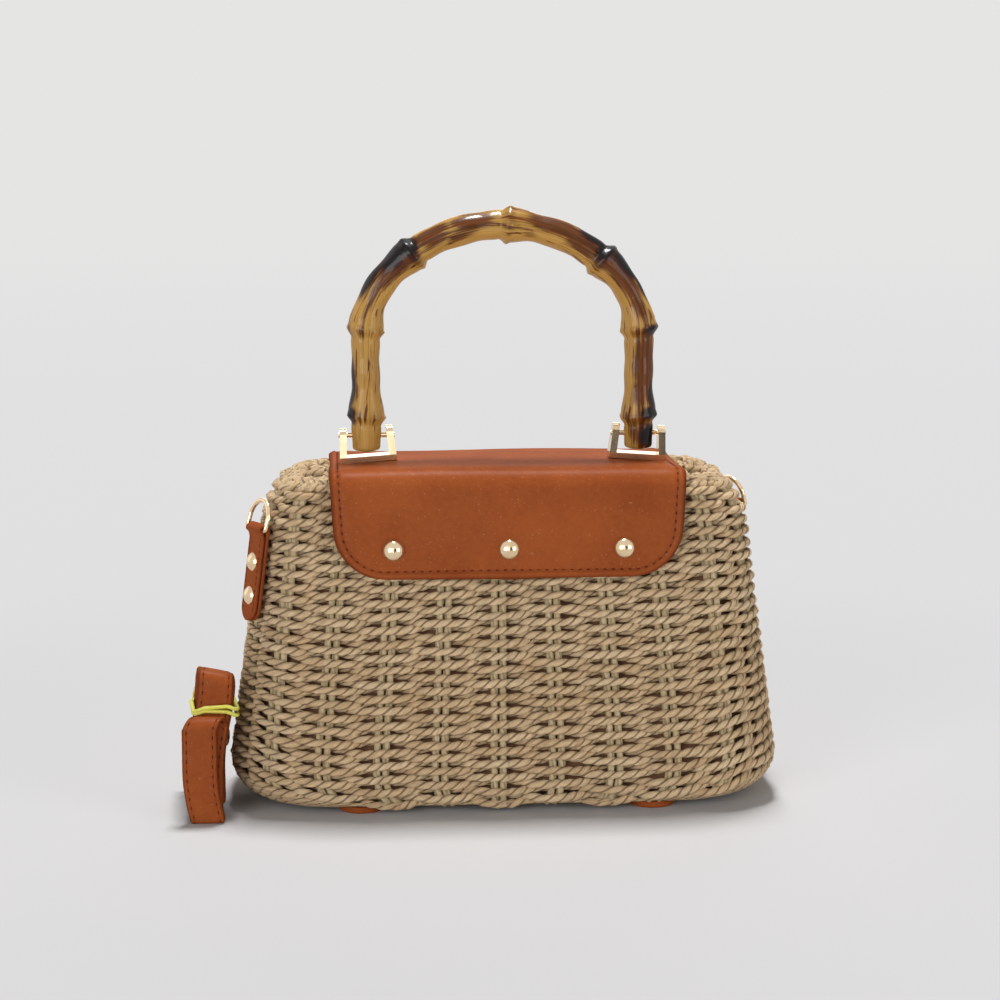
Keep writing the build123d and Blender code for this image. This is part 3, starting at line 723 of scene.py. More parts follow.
@dataclass(frozen=True)
class BasketForm:
    """Outline of the basket, as its solid has it; u runs once round it from the middle of the front."""

    foot: float = 3.2
    low_end_turn: float = 22.8
    low_front_turn: float = 12.0
    straight_rise: float = 108.0
    high_end_turn: float = 20.5
    high_front_turn: float = 9.0
    shoulder_half_length: float = 113.0
    belly_half_length: float = 128.5
    base_half_length: float = 105.5
    rim_half_length: float = 93.5
    shoulder_half_depth: float = 37.5
    belly_half_depth: float = 47.5
    base_half_depth: float = 41.0
    rim_half_depth: float = 33.5
    base_corner: float = 36.0
    rim_corner: float = 18.0

    @property
    def belly(self) -> float:
        """Height of the widest section."""
        return self.foot + self.low_end_turn

    @property
    def rim(self) -> float:
        """Height of the rim at the front and back."""
        return self.belly + self.straight_rise + self.high_end_turn

    @staticmethod
    def _turned(rise: Array, turn: float) -> Array:
        """Share of a quarter-round turn still to come at a rise above its start."""
        left = np.clip(1 - rise / turn, 0, 1)
        return 1 - np.sqrt(1 - left**2)

    def _half(self, z: Array, belly: float, shoulder: float, base: float, rim: float, turns: tuple) -> Array:
        """Half width of the outline at a height."""
        slope = (belly - shoulder) / self.straight_rise
        line = belly - slope * (z - self.belly)
        low = belly - slope * (self.foot - self.belly) - base
        high = belly - slope * (self.rim - self.belly) - rim
        foot_turn = self._turned(z - self.foot, turns[0])
        return line - low * foot_turn - high * self._turned(self.rim - z, turns[1])

    def half_length(self, z: Array) -> Array:
        """Half length at a height."""
        turns = (self.low_end_turn, self.high_end_turn)
        waist = (self.belly_half_length, self.shoulder_half_length)
        return self._half(z, *waist, self.base_half_length, self.rim_half_length, turns)

    def half_depth(self, z: Array) -> Array:
        """Half depth at a height."""
        turns = (self.low_front_turn, self.high_front_turn)
        waist = (self.belly_half_depth, self.shoulder_half_depth)
        return self._half(z, *waist, self.base_half_depth, self.rim_half_depth, turns)

    def corner(self, z: Array) -> Array:
        """Plan radius of the corners at a height."""
        share = (z - self.foot) / (self.rim - self.foot)
        return self.base_corner + (self.rim_corner - self.base_corner) * share

    def front_line(self, z: float) -> float:
        """Half depth of the straight front wall, carried on above and below it."""
        slope = (self.belly_half_depth - self.shoulder_half_depth) / self.straight_rise
        return self.belly_half_depth - slope * (z - self.belly)

    @property
    def lean(self) -> float:
        """Lean of the front wall, in radians."""
        return math.atan((self.belly_half_depth - self.shoulder_half_depth) / self.straight_rise)

    @staticmethod
    def endness(u: Array) -> Array:
        """Share of the way from the middle of a long side to the middle of an end."""
        return 1 - np.abs(np.mod(4 * u, 2) - 1)

    def ring(self, u: Array, half_length: Array, half_depth: Array, corner: Array) -> tuple[Array, Array]:
        """Points and outward directions on a rounded rectangle.

        Args:
            u: Share of the way round.
            half_length: Half length at each point.
            half_depth: Half depth at each point.
            corner: Corner radius at each point.

        Returns:
            Plan points and plan normals, two columns each.
        """
        long, short = half_length - corner, half_depth - corner
        bend = corner * math.pi / 2
        way = self.endness(u) * (long + bend + short)
        angle = np.clip((way - long) / corner, 0, math.pi / 2)
        x = np.minimum(way, long) + corner * np.sin(angle)
        y = short + corner * np.cos(angle) - np.maximum(way - long - bend, 0)
        side_x = np.where(np.mod(u, 1) < 0.5, 1, -1)
        side_y = np.where((np.mod(u, 1) >= 0.25) & (np.mod(u, 1) < 0.75), 1, -1)
        points = np.column_stack((x * side_x, y * side_y))
        return points, np.column_stack((np.sin(angle) * side_x, np.cos(angle) * side_y))

    def wall(self, u: Array, z: Array, inset: Array | float) -> Array:
        """Points on the wall at heights z, some way inside the outline."""
        z = np.broadcast_to(z, u.shape)
        points, outward = self.ring(u, self.half_length(z), self.half_depth(z), self.corner(z))
        return np.column_stack((points - outward * np.reshape(inset, (-1, 1)), z))


@dataclass
class Weave:
    """Woven rope wall, its stakes, its plaited rim and its base."""

    form: BasketForm
    rows: int = 48
    stakes: int = 24
    stake_shift: float = -4.6
    perimeter: float = 606.0
    rope_lobe: float = 2.15
    rope_waist: float = 1.6
    rope_pitch: float = 11.5
    swing: float = 2.7
    low_rise: float = 19.0
    high_drop: float = 1.5
    rise_start_share: float = 0.42
    ring_step: float = 1.15
    stake_radius: float = 1.72
    pair_half: float = 1.95
    scallop: float = 2.4
    knobs: int = 170
    base_step: float = 4.3
    base_turns: int = 7
    rim_bumps: int = 32
    rim_lobe: float = 2.0
    rim_waist: float = 1.6
    rim_pitch: float = 13.0
    lid_half_depth: float = 30.5
    lid_rises: tuple[float, ...] = (0.0, 2.1, 3.7, 4.8, 5.4)
    lid_step: float = 6.0
    lid_start: float = 82.6
    lid_length: float = 101.0
    seed: int = 7

    def row_height(self, u: Array, share: float) -> Array:
        """Height of a row along its way round; share is 0 at the base and 1 under the rim."""
        end = smooth(self.rise_start_share, 1.0, self.form.endness(u))
        low = self.form.foot + self.rope_lobe + self.low_rise * end
        high = self.form.rim - 3.6 - self.high_drop * end
        return low + (high - low) * share

    def stake_phase(self, u: Array) -> Array:
        """Angle that grows by half a turn from stake to stake."""
        return math.pi * self.stakes * (u - self.stake_shift / self.perimeter)

    def row_strands(self, rows: range) -> list[Strand]:
        """Guide lines of some rows."""
        draw = np.random.default_rng(self.seed)
        jitters = draw.uniform(-1, 1, (self.rows, 4))
        lumps = draw.uniform(-1, 1, (self.rows, 3, 2 * self.stakes))
        knobs = draw.uniform(-1, 1, (self.rows, self.knobs))
        strands = []
        count = int(self.perimeter / self.ring_step)
        u = np.arange(count) / count
        halves = 2 * self.stakes
        for row in rows:
            shift = jitters[row]
            phase = self.stake_phase(u) + math.pi * row
            share = row / (self.rows - 1)
            rise, swell, twist = (
                np.interp(u * halves, np.arange(halves), lump, period=halves) for lump in lumps[row]
            )
            knob = np.interp(u * self.knobs, np.arange(self.knobs), knobs[row], period=self.knobs)
            wander = 0.25 * np.sin(TURN * (3 * u + shift[0])) + 0.15 * np.sin(TURN * (7 * u + shift[1]))
            wander = wander + 0.42 * rise
            sag = self.scallop * math.exp(-row / 1.6) * (0.35 - np.abs(np.cos(self.stake_phase(u))))
            over = 0.5 + 0.5 * np.cos(phase)
            thick = 0.62 + 0.38 * smooth(0.05, 0.6, over)
            thick = thick * (1 - 0.12 * smooth(0.5, 1, self.form.endness(u)))
            thick = thick * (1 + 0.07 * swell + 0.06 * knob)
            inset = self.rope_lobe + 2 * self.swing * (1 - smooth(-0.1, 0.95, over)) + 0.2 * shift[2]
            points = self.form.wall(u, self.row_height(u, share) + wander + sag, inset)
            strands.append(Strand(points, True, thick, 0.5 + 0.5 * shift[3], twist=1.1 * twist))
        return strands

    def stake_strands(self) -> list[Strand]:
        """Guide lines of the stakes, two to a pair, from the base to the rim."""
        share = np.linspace(-0.01, 1.0, 46)
        strands = []
        for stake in range(self.stakes):
            middle = stake / self.stakes + self.stake_shift / self.perimeter
            for hand in (-1, 1):
                u = np.full(len(share), np.mod(middle + hand * self.pair_half / self.perimeter, 1.0))
                heights = np.array([self.row_height(u[:1], s)[0] for s in share])
                sway = 0.35 * np.cos(math.pi * (share * (self.rows - 1) + stake))
                points = self.form.wall(u, heights, self.rope_lobe + self.swing + sway)
                strands.append(Strand(points, False, 1.0, (0.13 * stake + 0.3 * hand) % 1.0))
        return strands

    def rim_strands(self) -> list[Strand]:
        """Guide lines of the three-strand plait on the rim."""
        count = int(self.perimeter * 0.8 / 0.9)
        u = np.arange(count) / count
        strands = []
        for ply in range(3):
            phase = TURN * (self.rim_bumps * u + ply / 3)
            rise = 1.5 + 1.5 * np.sin(phase)
            inset = 3.4 + 1.7 * np.sin(2 * phase) + 3.0 * smooth(0.55, 1.0, self.form.endness(u))
            points = self.form.wall(u, self.row_height(u, 1.0) + rise, inset)
            strands.append(Strand(points, True, 1.0, 0.3 + 0.2 * ply))
        return strands

    def lid_strands(self) -> list[Strand]:
        """Guide lines of the rows that close the ends of the mouth, and of the rope along their edge."""
        strands = []
        count = 420
        u = np.arange(count) / count / 2
        for row, rise in enumerate(self.lid_rises):
            depth = self.lid_half_depth - self.lid_step * row
            corner = np.full(count, min(depth - 0.3, 15.0))
            length = np.full(count, self.lid_length - 4.2 * row)
            flat, _ = self.form.ring(u, length, np.full(count, depth), corner)
            flat = flat[flat[:, 0] > self.lid_start]
            weave = 0.7 * np.cos(np.arange(len(flat)) * TURN / 60 + math.pi * row)
            height = self.lid_height(flat[:, 0], rise) + weave
            for side in (-1, 1):
                points = np.column_stack((side * flat[:, 0], flat[:, 1], height))
                strands.append(Strand(points, False, 1.12, (0.31 * row + 0.4 * side) % 1.0))
        across = np.linspace(-self.lid_half_depth, self.lid_half_depth, 90)
        depths = [self.lid_half_depth - self.lid_step * row for row in range(len(self.lid_rises))]
        rise = np.interp(np.abs(across), depths[::-1], self.lid_rises[::-1])
        for side in (-1, 1):
            edge = np.full(len(across), self.lid_start)
            points = np.column_stack((side * edge, across, self.lid_height(edge, rise) - 0.6))
            strands.append(Strand(points, False, 0.95, 0.5 + 0.2 * side))
        return strands

    def lid_height(self, x: Array, rise: Array | float) -> Array:
        """Height of a closing row at a distance from the middle of the bag."""
        return self.form.rim - 3.4 + rise - (2.4 + rise) * smooth(86.0, 103.0, x)

    def base_strands(self) -> list[Strand]:
        """Guide lines of the loops under the basket, from the lowest row inwards."""
        strands = []
        for loop in range(1, self.base_turns + 1):
            share = loop / self.base_turns
            count = int(self.perimeter / 1.7)
            u = np.arange(count) / count
            start = self.row_height(u, 0.0)
            height = start + (self.form.foot + self.rope_lobe * 0.8 - start) * math.sin(share * math.pi / 2)
            points = self.form.wall(u, height, self.rope_lobe)
            edge = smooth(0.45, 0.95, self.form.endness(u))
            points[:, :2] *= 1 - (1 - edge[:, None]) * 0.012 * loop
            points[:, 2] = np.maximum(points[:, 2] - 0.4 * share, self.form.foot + 1.0)
            strands.append(Strand(points, True, 0.45 + 0.5 * edge, (0.37 * loop) % 1.0))
        inset = 8.0
        while inset < self.form.base_half_depth - 2.0:
            length = self.form.base_half_length - inset
            depth = self.form.base_half_depth - inset
            corner = max(depth * 0.85, 1.0)
            count = max(int((4 * length + 2 * depth) / 1.7), 40)
            u = np.arange(count) / count
            flat, _ = self.form.ring(u, length, depth, np.full(count, corner))
            weave = 0.5 * np.cos(self.stake_phase(u) + math.pi * len(strands))
            points = np.column_stack((flat, self.form.foot + self.rope_lobe * 0.8 + weave))
            strands.append(Strand(points, True, 0.95, (0.37 * len(strands)) % 1.0))
            inset += self.base_step
        return strands

    def build(self, ropes: RopeMaker, finishes: Finishes) -> list[bpy.types.Object]:
        """Makes all pieces of the basket.

        Args:
            ropes: The rope tree.
            finishes: The bag's materials.

        Returns:
            The pieces, on the basket.
        """
        thirds = [self.rows * part // 3 for part in range(4)]
        rope = {"Lobe": self.rope_lobe * MM, "Waist": self.rope_waist * MM, "Pitch": self.rope_pitch * MM}
        round_cord = {"Lobe": self.stake_radius * MM, "Waist": self.stake_radius * 0.92 * MM, "Pitch": 0.06}
        plait = {"Lobe": self.rim_lobe * MM, "Waist": self.rim_waist * MM, "Pitch": self.rim_pitch * MM}
        plans = [
            (f"weave_{name}", self.row_strands(range(*ends)), rope, 8, finishes.rope)
            for name, ends in zip(("low", "middle", "high"), zip(thirds, thirds[1:]))
        ]
        plans.append(("weave_stakes", self.stake_strands(), round_cord, 8, finishes.stake))
        plans.append(("weave_rim", self.rim_strands(), plait, 8, finishes.rope))
        plans.append(("weave_lids", self.lid_strands(), rope, 8, finishes.rope))
        plans.append(("weave_base", self.base_strands(), rope, 6, finishes.rope))
        pieces = []
        for name, strands, sizes, sides, material in plans:
            piece = ropes.run(guide(name, strands), {**sizes, "Sides": sides, "Material": material})
            pieces.append(settle(piece, Body.BASKET, Slot.STRAW, "basket"))
        return pieces


@dataclass
class Lining:
    """Cloth lining, sewn in below the rim and slack towards its floor."""

    form: BasketForm
    weave: Weave
    inset: float = 9.3
    floor: float = 8.4
    columns: int = 240
    levels: int = 26
    folds: int = 34
    below_rim: float = 0.7
    thick: float = 0.6

    def build(self, finishes: Finishes) -> bpy.types.Object:
        """Makes the lining.

        Args:
            finishes: The bag's materials.

        Returns:
            The cloth, on the basket.
        """
        u = np.arange(self.columns) / self.columns
        top = self.weave.row_height(u, 1.0) - self.below_rim
        rings, flats = [], []
        for share in np.linspace(1.0, 0.0, self.levels):
            height = self.floor + (top - self.floor) * share
            ripple = 0.7 * np.sin(TURN * self.folds * u + 5 * share) * (1 - share) * share * 3
            rings.append(self.form.wall(u, height, self.inset + ripple))
            flats.append(np.column_stack((u * 0.56, height * MM, u * 0)))
        for share in (0.92, 0.7, 0.45, 0.2, 0.03):
            ring = rings[self.levels - 1] * np.array([share, share, 1.0])
            rings.append(ring + np.array([0, 0, 0.6 * math.sin(9 * share)]))
            flats.append(ring * MM)
        points, flat = np.vstack(rings), np.vstack(flats)
        faces = []
        for level in range(len(rings) - 1):
            for column in range(self.columns):
                other = (column + 1) % self.columns
                low, high = level * self.columns, (level + 1) * self.columns
                faces.append((low + column, low + other, high + other, high + column))
        last = (len(rings) - 1) * self.columns
        faces.append(tuple(range(last, last + self.columns)))
        piece = mesh_piece("lining_cloth", points, faces)
        keep(piece, "cloth", flat)
        thick = piece.modifiers.new("thickness", "SOLIDIFY")
        thick.thickness = self.thick * MM
        thick.offset = 0.0
        piece = flattened(piece)
        turned_out(piece)
        dress(piece, finishes.cloth)
        settle(piece, Body.BASKET, Slot.LINING, "lining")
        return piece


@dataclass
class LeatherCover:
    """One piece of leather: a panel on the back wall, over the mouth, and down the front as the flap."""

    form: BasketForm
    half_width: float = 80.5
    foot_taper: float = 3.0
    corner: float = 22.0
    thick: float = 2.4
    crest: float = 159.5
    crown: float = 2.4
    hinge_rise: float = 2.1
    front_rise: float = 3.8
    flap_drop: float = 44.5
    panel_drop: float = 38.5
    flap_standoff: float = 2.4
    panel_standoff: float = 0.4
    bend_cut: float = 10.0
    fold_cut: float = 3.0
    stitch_inset: float = 3.3
    stud_xs: tuple[float, ...] = (-52.5, 0.0, 52.5)
    stud_rise: float = 13.0
    dent: float = 0.55
    dent_reach: float = 7.5

    def corners(self, x: float) -> list[Array]:
        """Panel foot, hinge, crest, front bend and flap foot of the leather's middle, as Y and Z."""
        half = self.thick / 2
        lean = np.array([math.cos(self.form.lean), math.sin(self.form.lean)])

        def seat(height: float, side: int, standoff: float) -> Array:
            """Point at a standoff from the front or back wall."""
            return np.array([side * self.form.front_line(height), height]) + lean * (side, 1) * standoff

        rim = self.form.rim
        panel = seat(rim - self.panel_drop, 1, self.panel_standoff + half)
        hinge = seat(rim + self.hinge_rise, 1, self.panel_standoff + half)
        crest = np.array([0.0, self.crest - self.crown * (x / self.half_width) ** 2 - half])
        bend = seat(rim + self.front_rise, -1, self.flap_standoff + half)
        foot = seat(rim - self.flap_drop, -1, self.flap_standoff + half)
        return [panel, hinge, crest, bend, foot]

    def profile(self, x: float) -> Array:
        """Section of the leather's middle across the bag, from the panel's foot to the flap's foot."""
        panel, hinge, crest, bend, foot = self.corners(x)

        def over(y: Array) -> Array:
            """Points of the top, a parabola through hinge, crest and bend."""
            known = np.array([hinge, crest, bend])
            fit = np.polyfit(known[:, 0], known[:, 1], 2)
            return np.column_stack((y, np.polyval(fit, y)))

        def rounded(start: Array, middle: Array, end: Array, count: int) -> Array:
            """Points round a corner."""
            t = np.linspace(0, 1, count)[1:-1, None]
            return (1 - t) ** 2 * start + 2 * t * (1 - t) * middle + t**2 * end

        up = unit(hinge - panel)
        down = unit(foot - bend)
        panel_top = hinge - up * self.fold_cut
        drop_top = bend + down * self.bend_cut
        top = over(np.linspace(hinge[0] - self.fold_cut, bend[0] + self.bend_cut, 46))
        edge = np.concatenate((np.linspace(0, 5.5, 12), np.linspace(7, 24, 14)))
        panel_run = np.concatenate((edge, np.linspace(25.5, np.linalg.norm(panel_top - panel), 10)))
        drop_length = np.linalg.norm(foot - drop_top)
        drop_run = np.concatenate((np.linspace(0, drop_length - 25.5, 10), drop_length - edge[::-1]))
        parts = [
            panel + panel_run[:, None] * up,
            rounded(panel_top, hinge, top[0], 9),
            top,
            rounded(top[-1], bend, drop_top, 13),
            drop_top + drop_run[:, None] * down,
        ]
        return np.vstack(parts)

    def taper(self, from_flap: Array | float) -> Array | float:
        """Narrowing of each side towards the flap's foot."""
        return self.foot_taper * np.clip(1 - from_flap / (self.flap_drop + self.front_rise), 0, 1)

    def half_at(self, from_panel: Array, from_flap: Array) -> Array:
        """Half width of the leather, from the lengths to its two feet."""
        nearest = np.minimum(np.minimum(from_panel, from_flap), self.corner)
        tuck = self.corner - np.sqrt(np.maximum(self.corner**2 - (self.corner - nearest) ** 2, 0))
        return self.half_width - self.taper(from_flap) - tuck

    def edge_distance(self, x: Array, from_panel: Array, from_flap: Array) -> Array:
        """Distance of a point of the leather from its cut edge."""
        foot = np.minimum(from_panel, from_flap)
        side = self.half_width - self.taper(from_flap) - np.abs(x)
        round_corner = self.corner - np.hypot(self.corner - side, self.corner - foot)
        in_corner = (side < self.corner) & (foot < self.corner)
        return np.where(in_corner, round_corner, np.minimum(side, foot))

    def stitch_line(self) -> Strand:
        """Guide line of the stitches, all round the leather."""
        inset, radius = self.stitch_inset, self.corner - self.stitch_inset
        middle = self.profile(self.half_width - inset)
        total = np.linalg.norm(np.diff(middle, axis=0), axis=1).sum()
        straight, step = self.half_width - self.corner, 1.5
        turn = np.linspace(0, math.pi / 2, 16)
        outline = [(way, inset) for way in np.arange(0, straight, step)]
        outline += [(straight + radius * math.sin(a), self.corner - radius * math.cos(a)) for a in turn]
        far = total - self.corner
        outline += [(self.half_width - inset, way) for way in np.arange(self.corner + step, far, step)]
        outline += [(straight + radius * math.sin(a), far + radius * math.cos(a)) for a in turn[::-1]]
        outline += [(way, total - inset) for way in np.arange(straight, 0, -step)]
        outline += [(-x, way) for x, way in outline[::-1]]
        points, facing = [], []
        for x, way in outline:
            line = self.profile(x)
            steps = np.concatenate(([0], np.cumsum(np.linalg.norm(np.diff(line, axis=0), axis=1))))
            (y, z), (y1, z1), (y2, z2) = (
                [np.interp(way + ahead, steps, line[:, axis]) for axis in (0, 1)]
                for ahead in (0.0, -0.5, 0.5)
            )
            normal = unit(np.array([0.0, z2 - z1, y1 - y2]))
            narrowed = x * (1 - self.taper(steps[-1] - way) / self.half_width)
            points.append(np.array([narrowed, y, z]) + normal * (self.thick / 2 - 0.25))
            facing.append(normal)
        return Strand(np.array(points), True, 1.0, 0.5, np.array(facing))

    def relief(self, x: Array, gap: Array, from_flap: Array) -> Array:
        """Rise of the outer face: sewn groove, rolled edge, dents at the studs and slack.

        Args:
            x: Place along the bag at each point.
            gap: Distance from the cut edge.
            from_flap: Length to the flap's foot.

        Returns:
            The rise, in millimetres.
        """
        rise = -0.35 * bell(gap - self.stitch_inset, 0.75)
        rise -= 0.5 * bell(gap, 0.7)
        rise += 0.3 * bell(gap - 1.9, 0.9) + 0.25 * bell(gap - 7.0, 3.0)
        front = smooth(50.0, 40.0, from_flap)
        for stud in self.stud_xs:
            away = np.hypot(x - stud, from_flap - self.stud_rise)
            rise -= front * self.dent * bell(away, self.dent_reach)
        rise += 0.35 * np.sin(x / 19.0 + 0.6) * np.sin(from_flap / 15.0 + 0.3) * smooth(4, 16, gap)
        return rise

    def build(self, stitches: StitchMaker, finishes: Finishes) -> list[bpy.types.Object]:
        """Makes the leather and its stitches.

        Args:
            stitches: The stitch tree.
            finishes: The bag's materials.

        Returns:
            The leather and its stitches.
        """
        edge = np.concatenate((np.linspace(0, 5.5, 12), np.linspace(8, 20, 8)))
        inner = np.linspace(-(self.half_width - 23), self.half_width - 23, 54)
        xs = np.concatenate((-self.half_width + edge, inner, self.half_width - edge[::-1]))
        columns = np.stack([self.profile(x) for x in xs])
        steps = np.linalg.norm(np.diff(columns, axis=1), axis=2)
        from_panel = np.concatenate((np.zeros((len(xs), 1)), np.cumsum(steps, axis=1)), axis=1)
        from_flap = from_panel[:, -1:] - from_panel
        x = (xs[:, None] / self.half_width) * self.half_at(from_panel, from_flap)
        middle = np.dstack((x, columns))
        along = unit(np.gradient(columns, axis=1))
        normal = np.dstack((np.zeros_like(x), along[..., 1], -along[..., 0]))
        gap = np.maximum(self.edge_distance(x, from_panel, from_flap), 0)
        outer = middle + normal * (self.thick / 2 + self.relief(x, gap, from_flap))[..., None]
        inner_face = middle - normal * (self.thick / 2 - 0.3 * bell(gap, 0.7))[..., None]
        count_x, count_s = x.shape
        grid = np.arange(count_x * count_s).reshape(count_x, count_s)
        loop = np.concatenate((grid[:-1, 0], grid[-1, :-1], grid[:0:-1, -1], grid[0, :0:-1]))
        size = count_x * count_s
        outward = unit(middle.reshape(-1, 3)[loop] - middle.reshape(-1, 3)[self._inner_loop(grid)])
        rim = middle.reshape(-1, 3)[loop] + outward * 0.7
        points = np.vstack((outer.reshape(-1, 3), inner_face.reshape(-1, 3), rim))
        quads = np.stack((grid[:-1, :-1], grid[1:, :-1], grid[1:, 1:], grid[:-1, 1:]), axis=-1)
        quads = quads.reshape(-1, 4)
        faces = quads.tolist() + (quads[:, ::-1] + size).tolist()
        around = np.arange(len(loop))
        after = np.roll(around, -1)
        middles, next_middles = 2 * size + around, 2 * size + after
        faces += np.column_stack((loop[around], loop[after], next_middles, middles)).tolist()
        faces += np.column_stack((middles, next_middles, size + loop[after], size + loop[around])).tolist()
        cover = mesh_piece("leather_cover", points, faces)
        flat_gap = gap.ravel()
        worn = bell(flat_gap, 0.9)
        worn += 0.45 * bell(flat_gap - self.stitch_inset, 0.8)
        keep(cover, "edge", np.concatenate((worn, worn, np.ones(len(loop)))))
        turned_out(cover)
        dress(cover, finishes.leather)
        sizes = {"Pitch": 3.8 * MM, "Length": 1.9 * MM, "Width": 0.85 * MM, "Height": 0.7 * MM}
        line = guide("cover_stitches", [self.stitch_line()])
        thread = stitches.run(line, {**sizes, "Material": finishes.thread})
        for piece in (cover, thread):
            self._bend(piece)
            log.info("%s: %d faces across the hinge", piece.name, len(piece.data.polygons))
        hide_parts("flap", "back_panel")
        return [cover, thread]

    @staticmethod
    def _inner_loop(grid: Array) -> Array:
        """Vertices one step inside the edge loop, in the same order."""
        rows, columns = grid.shape
        near = grid[np.clip(np.arange(rows), 1, rows - 2)][:, np.clip(np.arange(columns), 1, columns - 2)]
        return np.concatenate((near[:-1, 0], near[-1, :-1], near[:0:-1, -1], near[0, :0:-1]))

    def _bend(self, piece: bpy.types.Object) -> None:
        """Bakes a piece's placement into its mesh."""
        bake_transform(piece)


def ribbon(name: str, path: Array, across: Array, width: Array | float, thick: float) -> bpy.types.Object:
    """Sweeps a leather strip with rounded edges and sewn grooves along a path.

    Args:
        name: Name of the piece.
        path: Middle line, in millimetres.
        across: Unit direction of the width at each point.
        width: Full width, or one for each point.
        thick: Thickness.

    Returns:
        The strip, with an edge attribute.
    """
    tangent = unit(np.gradient(path, axis=0))
    facing = unit(np.cross(across, tangent))
    shares = np.array([-0.93, -0.84, -0.74, -0.64, -0.45, 0.0, 0.45, 0.64, 0.74, 0.84, 0.93])
    heights = np.array([0.72, 0.98, 0.8, 0.98, 1.02, 1.05, 1.02, 0.98, 0.8, 0.98, 0.72])
    a = np.concatenate(([-1.0], shares, [1.0], shares[::-1]))
    h = np.concatenate(([0.0], heights, [0.0], -heights[::-1]))
    half = np.broadcast_to(np.asarray(width, float) / 2, len(path))
    rings = path[:, None] + across[:, None] * (a * half[:, None])[..., None]
    rings = rings + facing[:, None] * (h * thick / 2)[None, :, None]
    piece = mesh_piece(name, rings.reshape(-1, 3), tube_faces(len(path), len(a)))
    worn = np.clip(np.abs(a) * 8 - 7, 0, 1) + 0.5 * (np.abs(np.abs(a) - 0.74) < 0.05)
    keep(piece, "edge", np.tile(worn, len(path)))
    turned_out(piece)
    return piece


def seam(path: Array, across: Array, offset: float, lift: float) -> Strand:
    """Guide line of stitches on one face of a strip.

    Args:
        path: Middle line of the strip.
        across: Unit direction of its width.
        offset: Place of the seam across the width.
        lift: Height of the seam above the middle; its sign picks the face.

    Returns:
        The strand.
    """
    tangent = unit(np.gradient(path, axis=0))
    facing = unit(np.cross(across, tangent)) * math.copysign(1, lift)
    return Strand(path + across * offset + facing * abs(lift), False, 1.0, 0.5, facing)


@dataclass
class SideTab:
    """Leather tab folded over a ring's bar and riveted to the end of the basket."""

    form: BasketForm
    hand: str
    side: int
    turn: float = math.radians(30.0)
    drop: float = 44.5
    length: float = 42.0
    width: float = 13.0
    leather: float = 1.8
    fold_gap: float = 0.3
    seat: float = 0.3
    wire: float = 1.1

    def corner_point(self, z: float) -> Array:
        """Point of the basket's corner under the tab."""
        radius, height = float(self.form.corner(z)), np.array(z)
        x = float(self.form.half_length(height)) - radius + radius * math.cos(self.turn)
        y = float(self.form.half_depth(height)) - radius + radius * math.sin(self.turn)
        return np.array([self.side * x, self.side * y, z])

    def build(self, stitches: StitchMaker, finishes: Finishes) -> list[bpy.types.Object]:
        """Makes the tab and its stitches.

        Args:
            stitches: The stitch tree.
            finishes: The bag's materials.

        Returns:
            The pieces, on the basket.
        """
        bottom = self.form.belly + self.form.straight_rise - self.drop
        low, high = self.corner_point(bottom), self.corner_point(bottom + self.length)
        across = np.array([-self.side * math.sin(self.turn), self.side * math.cos(self.turn), 0.0])
        up = unit(high - low)
        out = np.cross(across, up)
        eye = self.wire + self.seat + self.leather / 2
        stack = 2 * self.leather + self.fold_gap
        eye_rise = eye + self.leather / 2
        front = stack - self.leather / 2
        angles = np.linspace(math.pi / 2, -math.pi / 2, 18)
        down = np.linspace(0, self.length - 4.0, 34)
        outer = np.column_stack((down, np.full(len(down), front)))
        bulge = np.array([[self.length - 2.2, front + 0.5], [self.length - 0.9, front + 1.25]])
        loop = np.column_stack((self.length + eye * np.cos(angles), eye_rise + eye * np.sin(angles)))
        back = np.column_stack((down[::-1], np.full(len(down), self.leather / 2)))
        line = np.vstack((outer, bulge, loop, back))
        base = low + out * self.seat
        path = base + line[:, :1] * up + line[:, 1:] * out
        reach = np.clip(line[:, 0], 0.15, self.width / 2)
        half = np.sqrt((self.width / 2) ** 2 - (self.width / 2 - reach) ** 2)
        side_way = np.broadcast_to(across, path.shape)
        tab = ribbon(f"tab_leather_{self.hand}", path, side_way, 2 * half, self.leather)
        dress(tab, finishes.leather)
        settle(tab, Body.BASKET, Slot.LEATHER, f"side_tab_{self.hand}")
        sewn = path[5:34]
        lift = self.leather / 2 - 0.15
        seams = [seam(sewn, side_way[5:34], hand * self.width * 0.37, lift) for hand in (-1, 1)]
        sizes = {"Pitch": 2.9 * MM, "Length": 1.8 * MM, "Width": 0.6 * MM, "Height": 0.55 * MM}
        line = guide(f"tab_stitches_{self.hand}", seams)
        thread = stitches.run(line, {**sizes, "Material": finishes.thread})
        settle(thread, Body.BASKET, Slot.LEATHER)
        return [tab, thread]


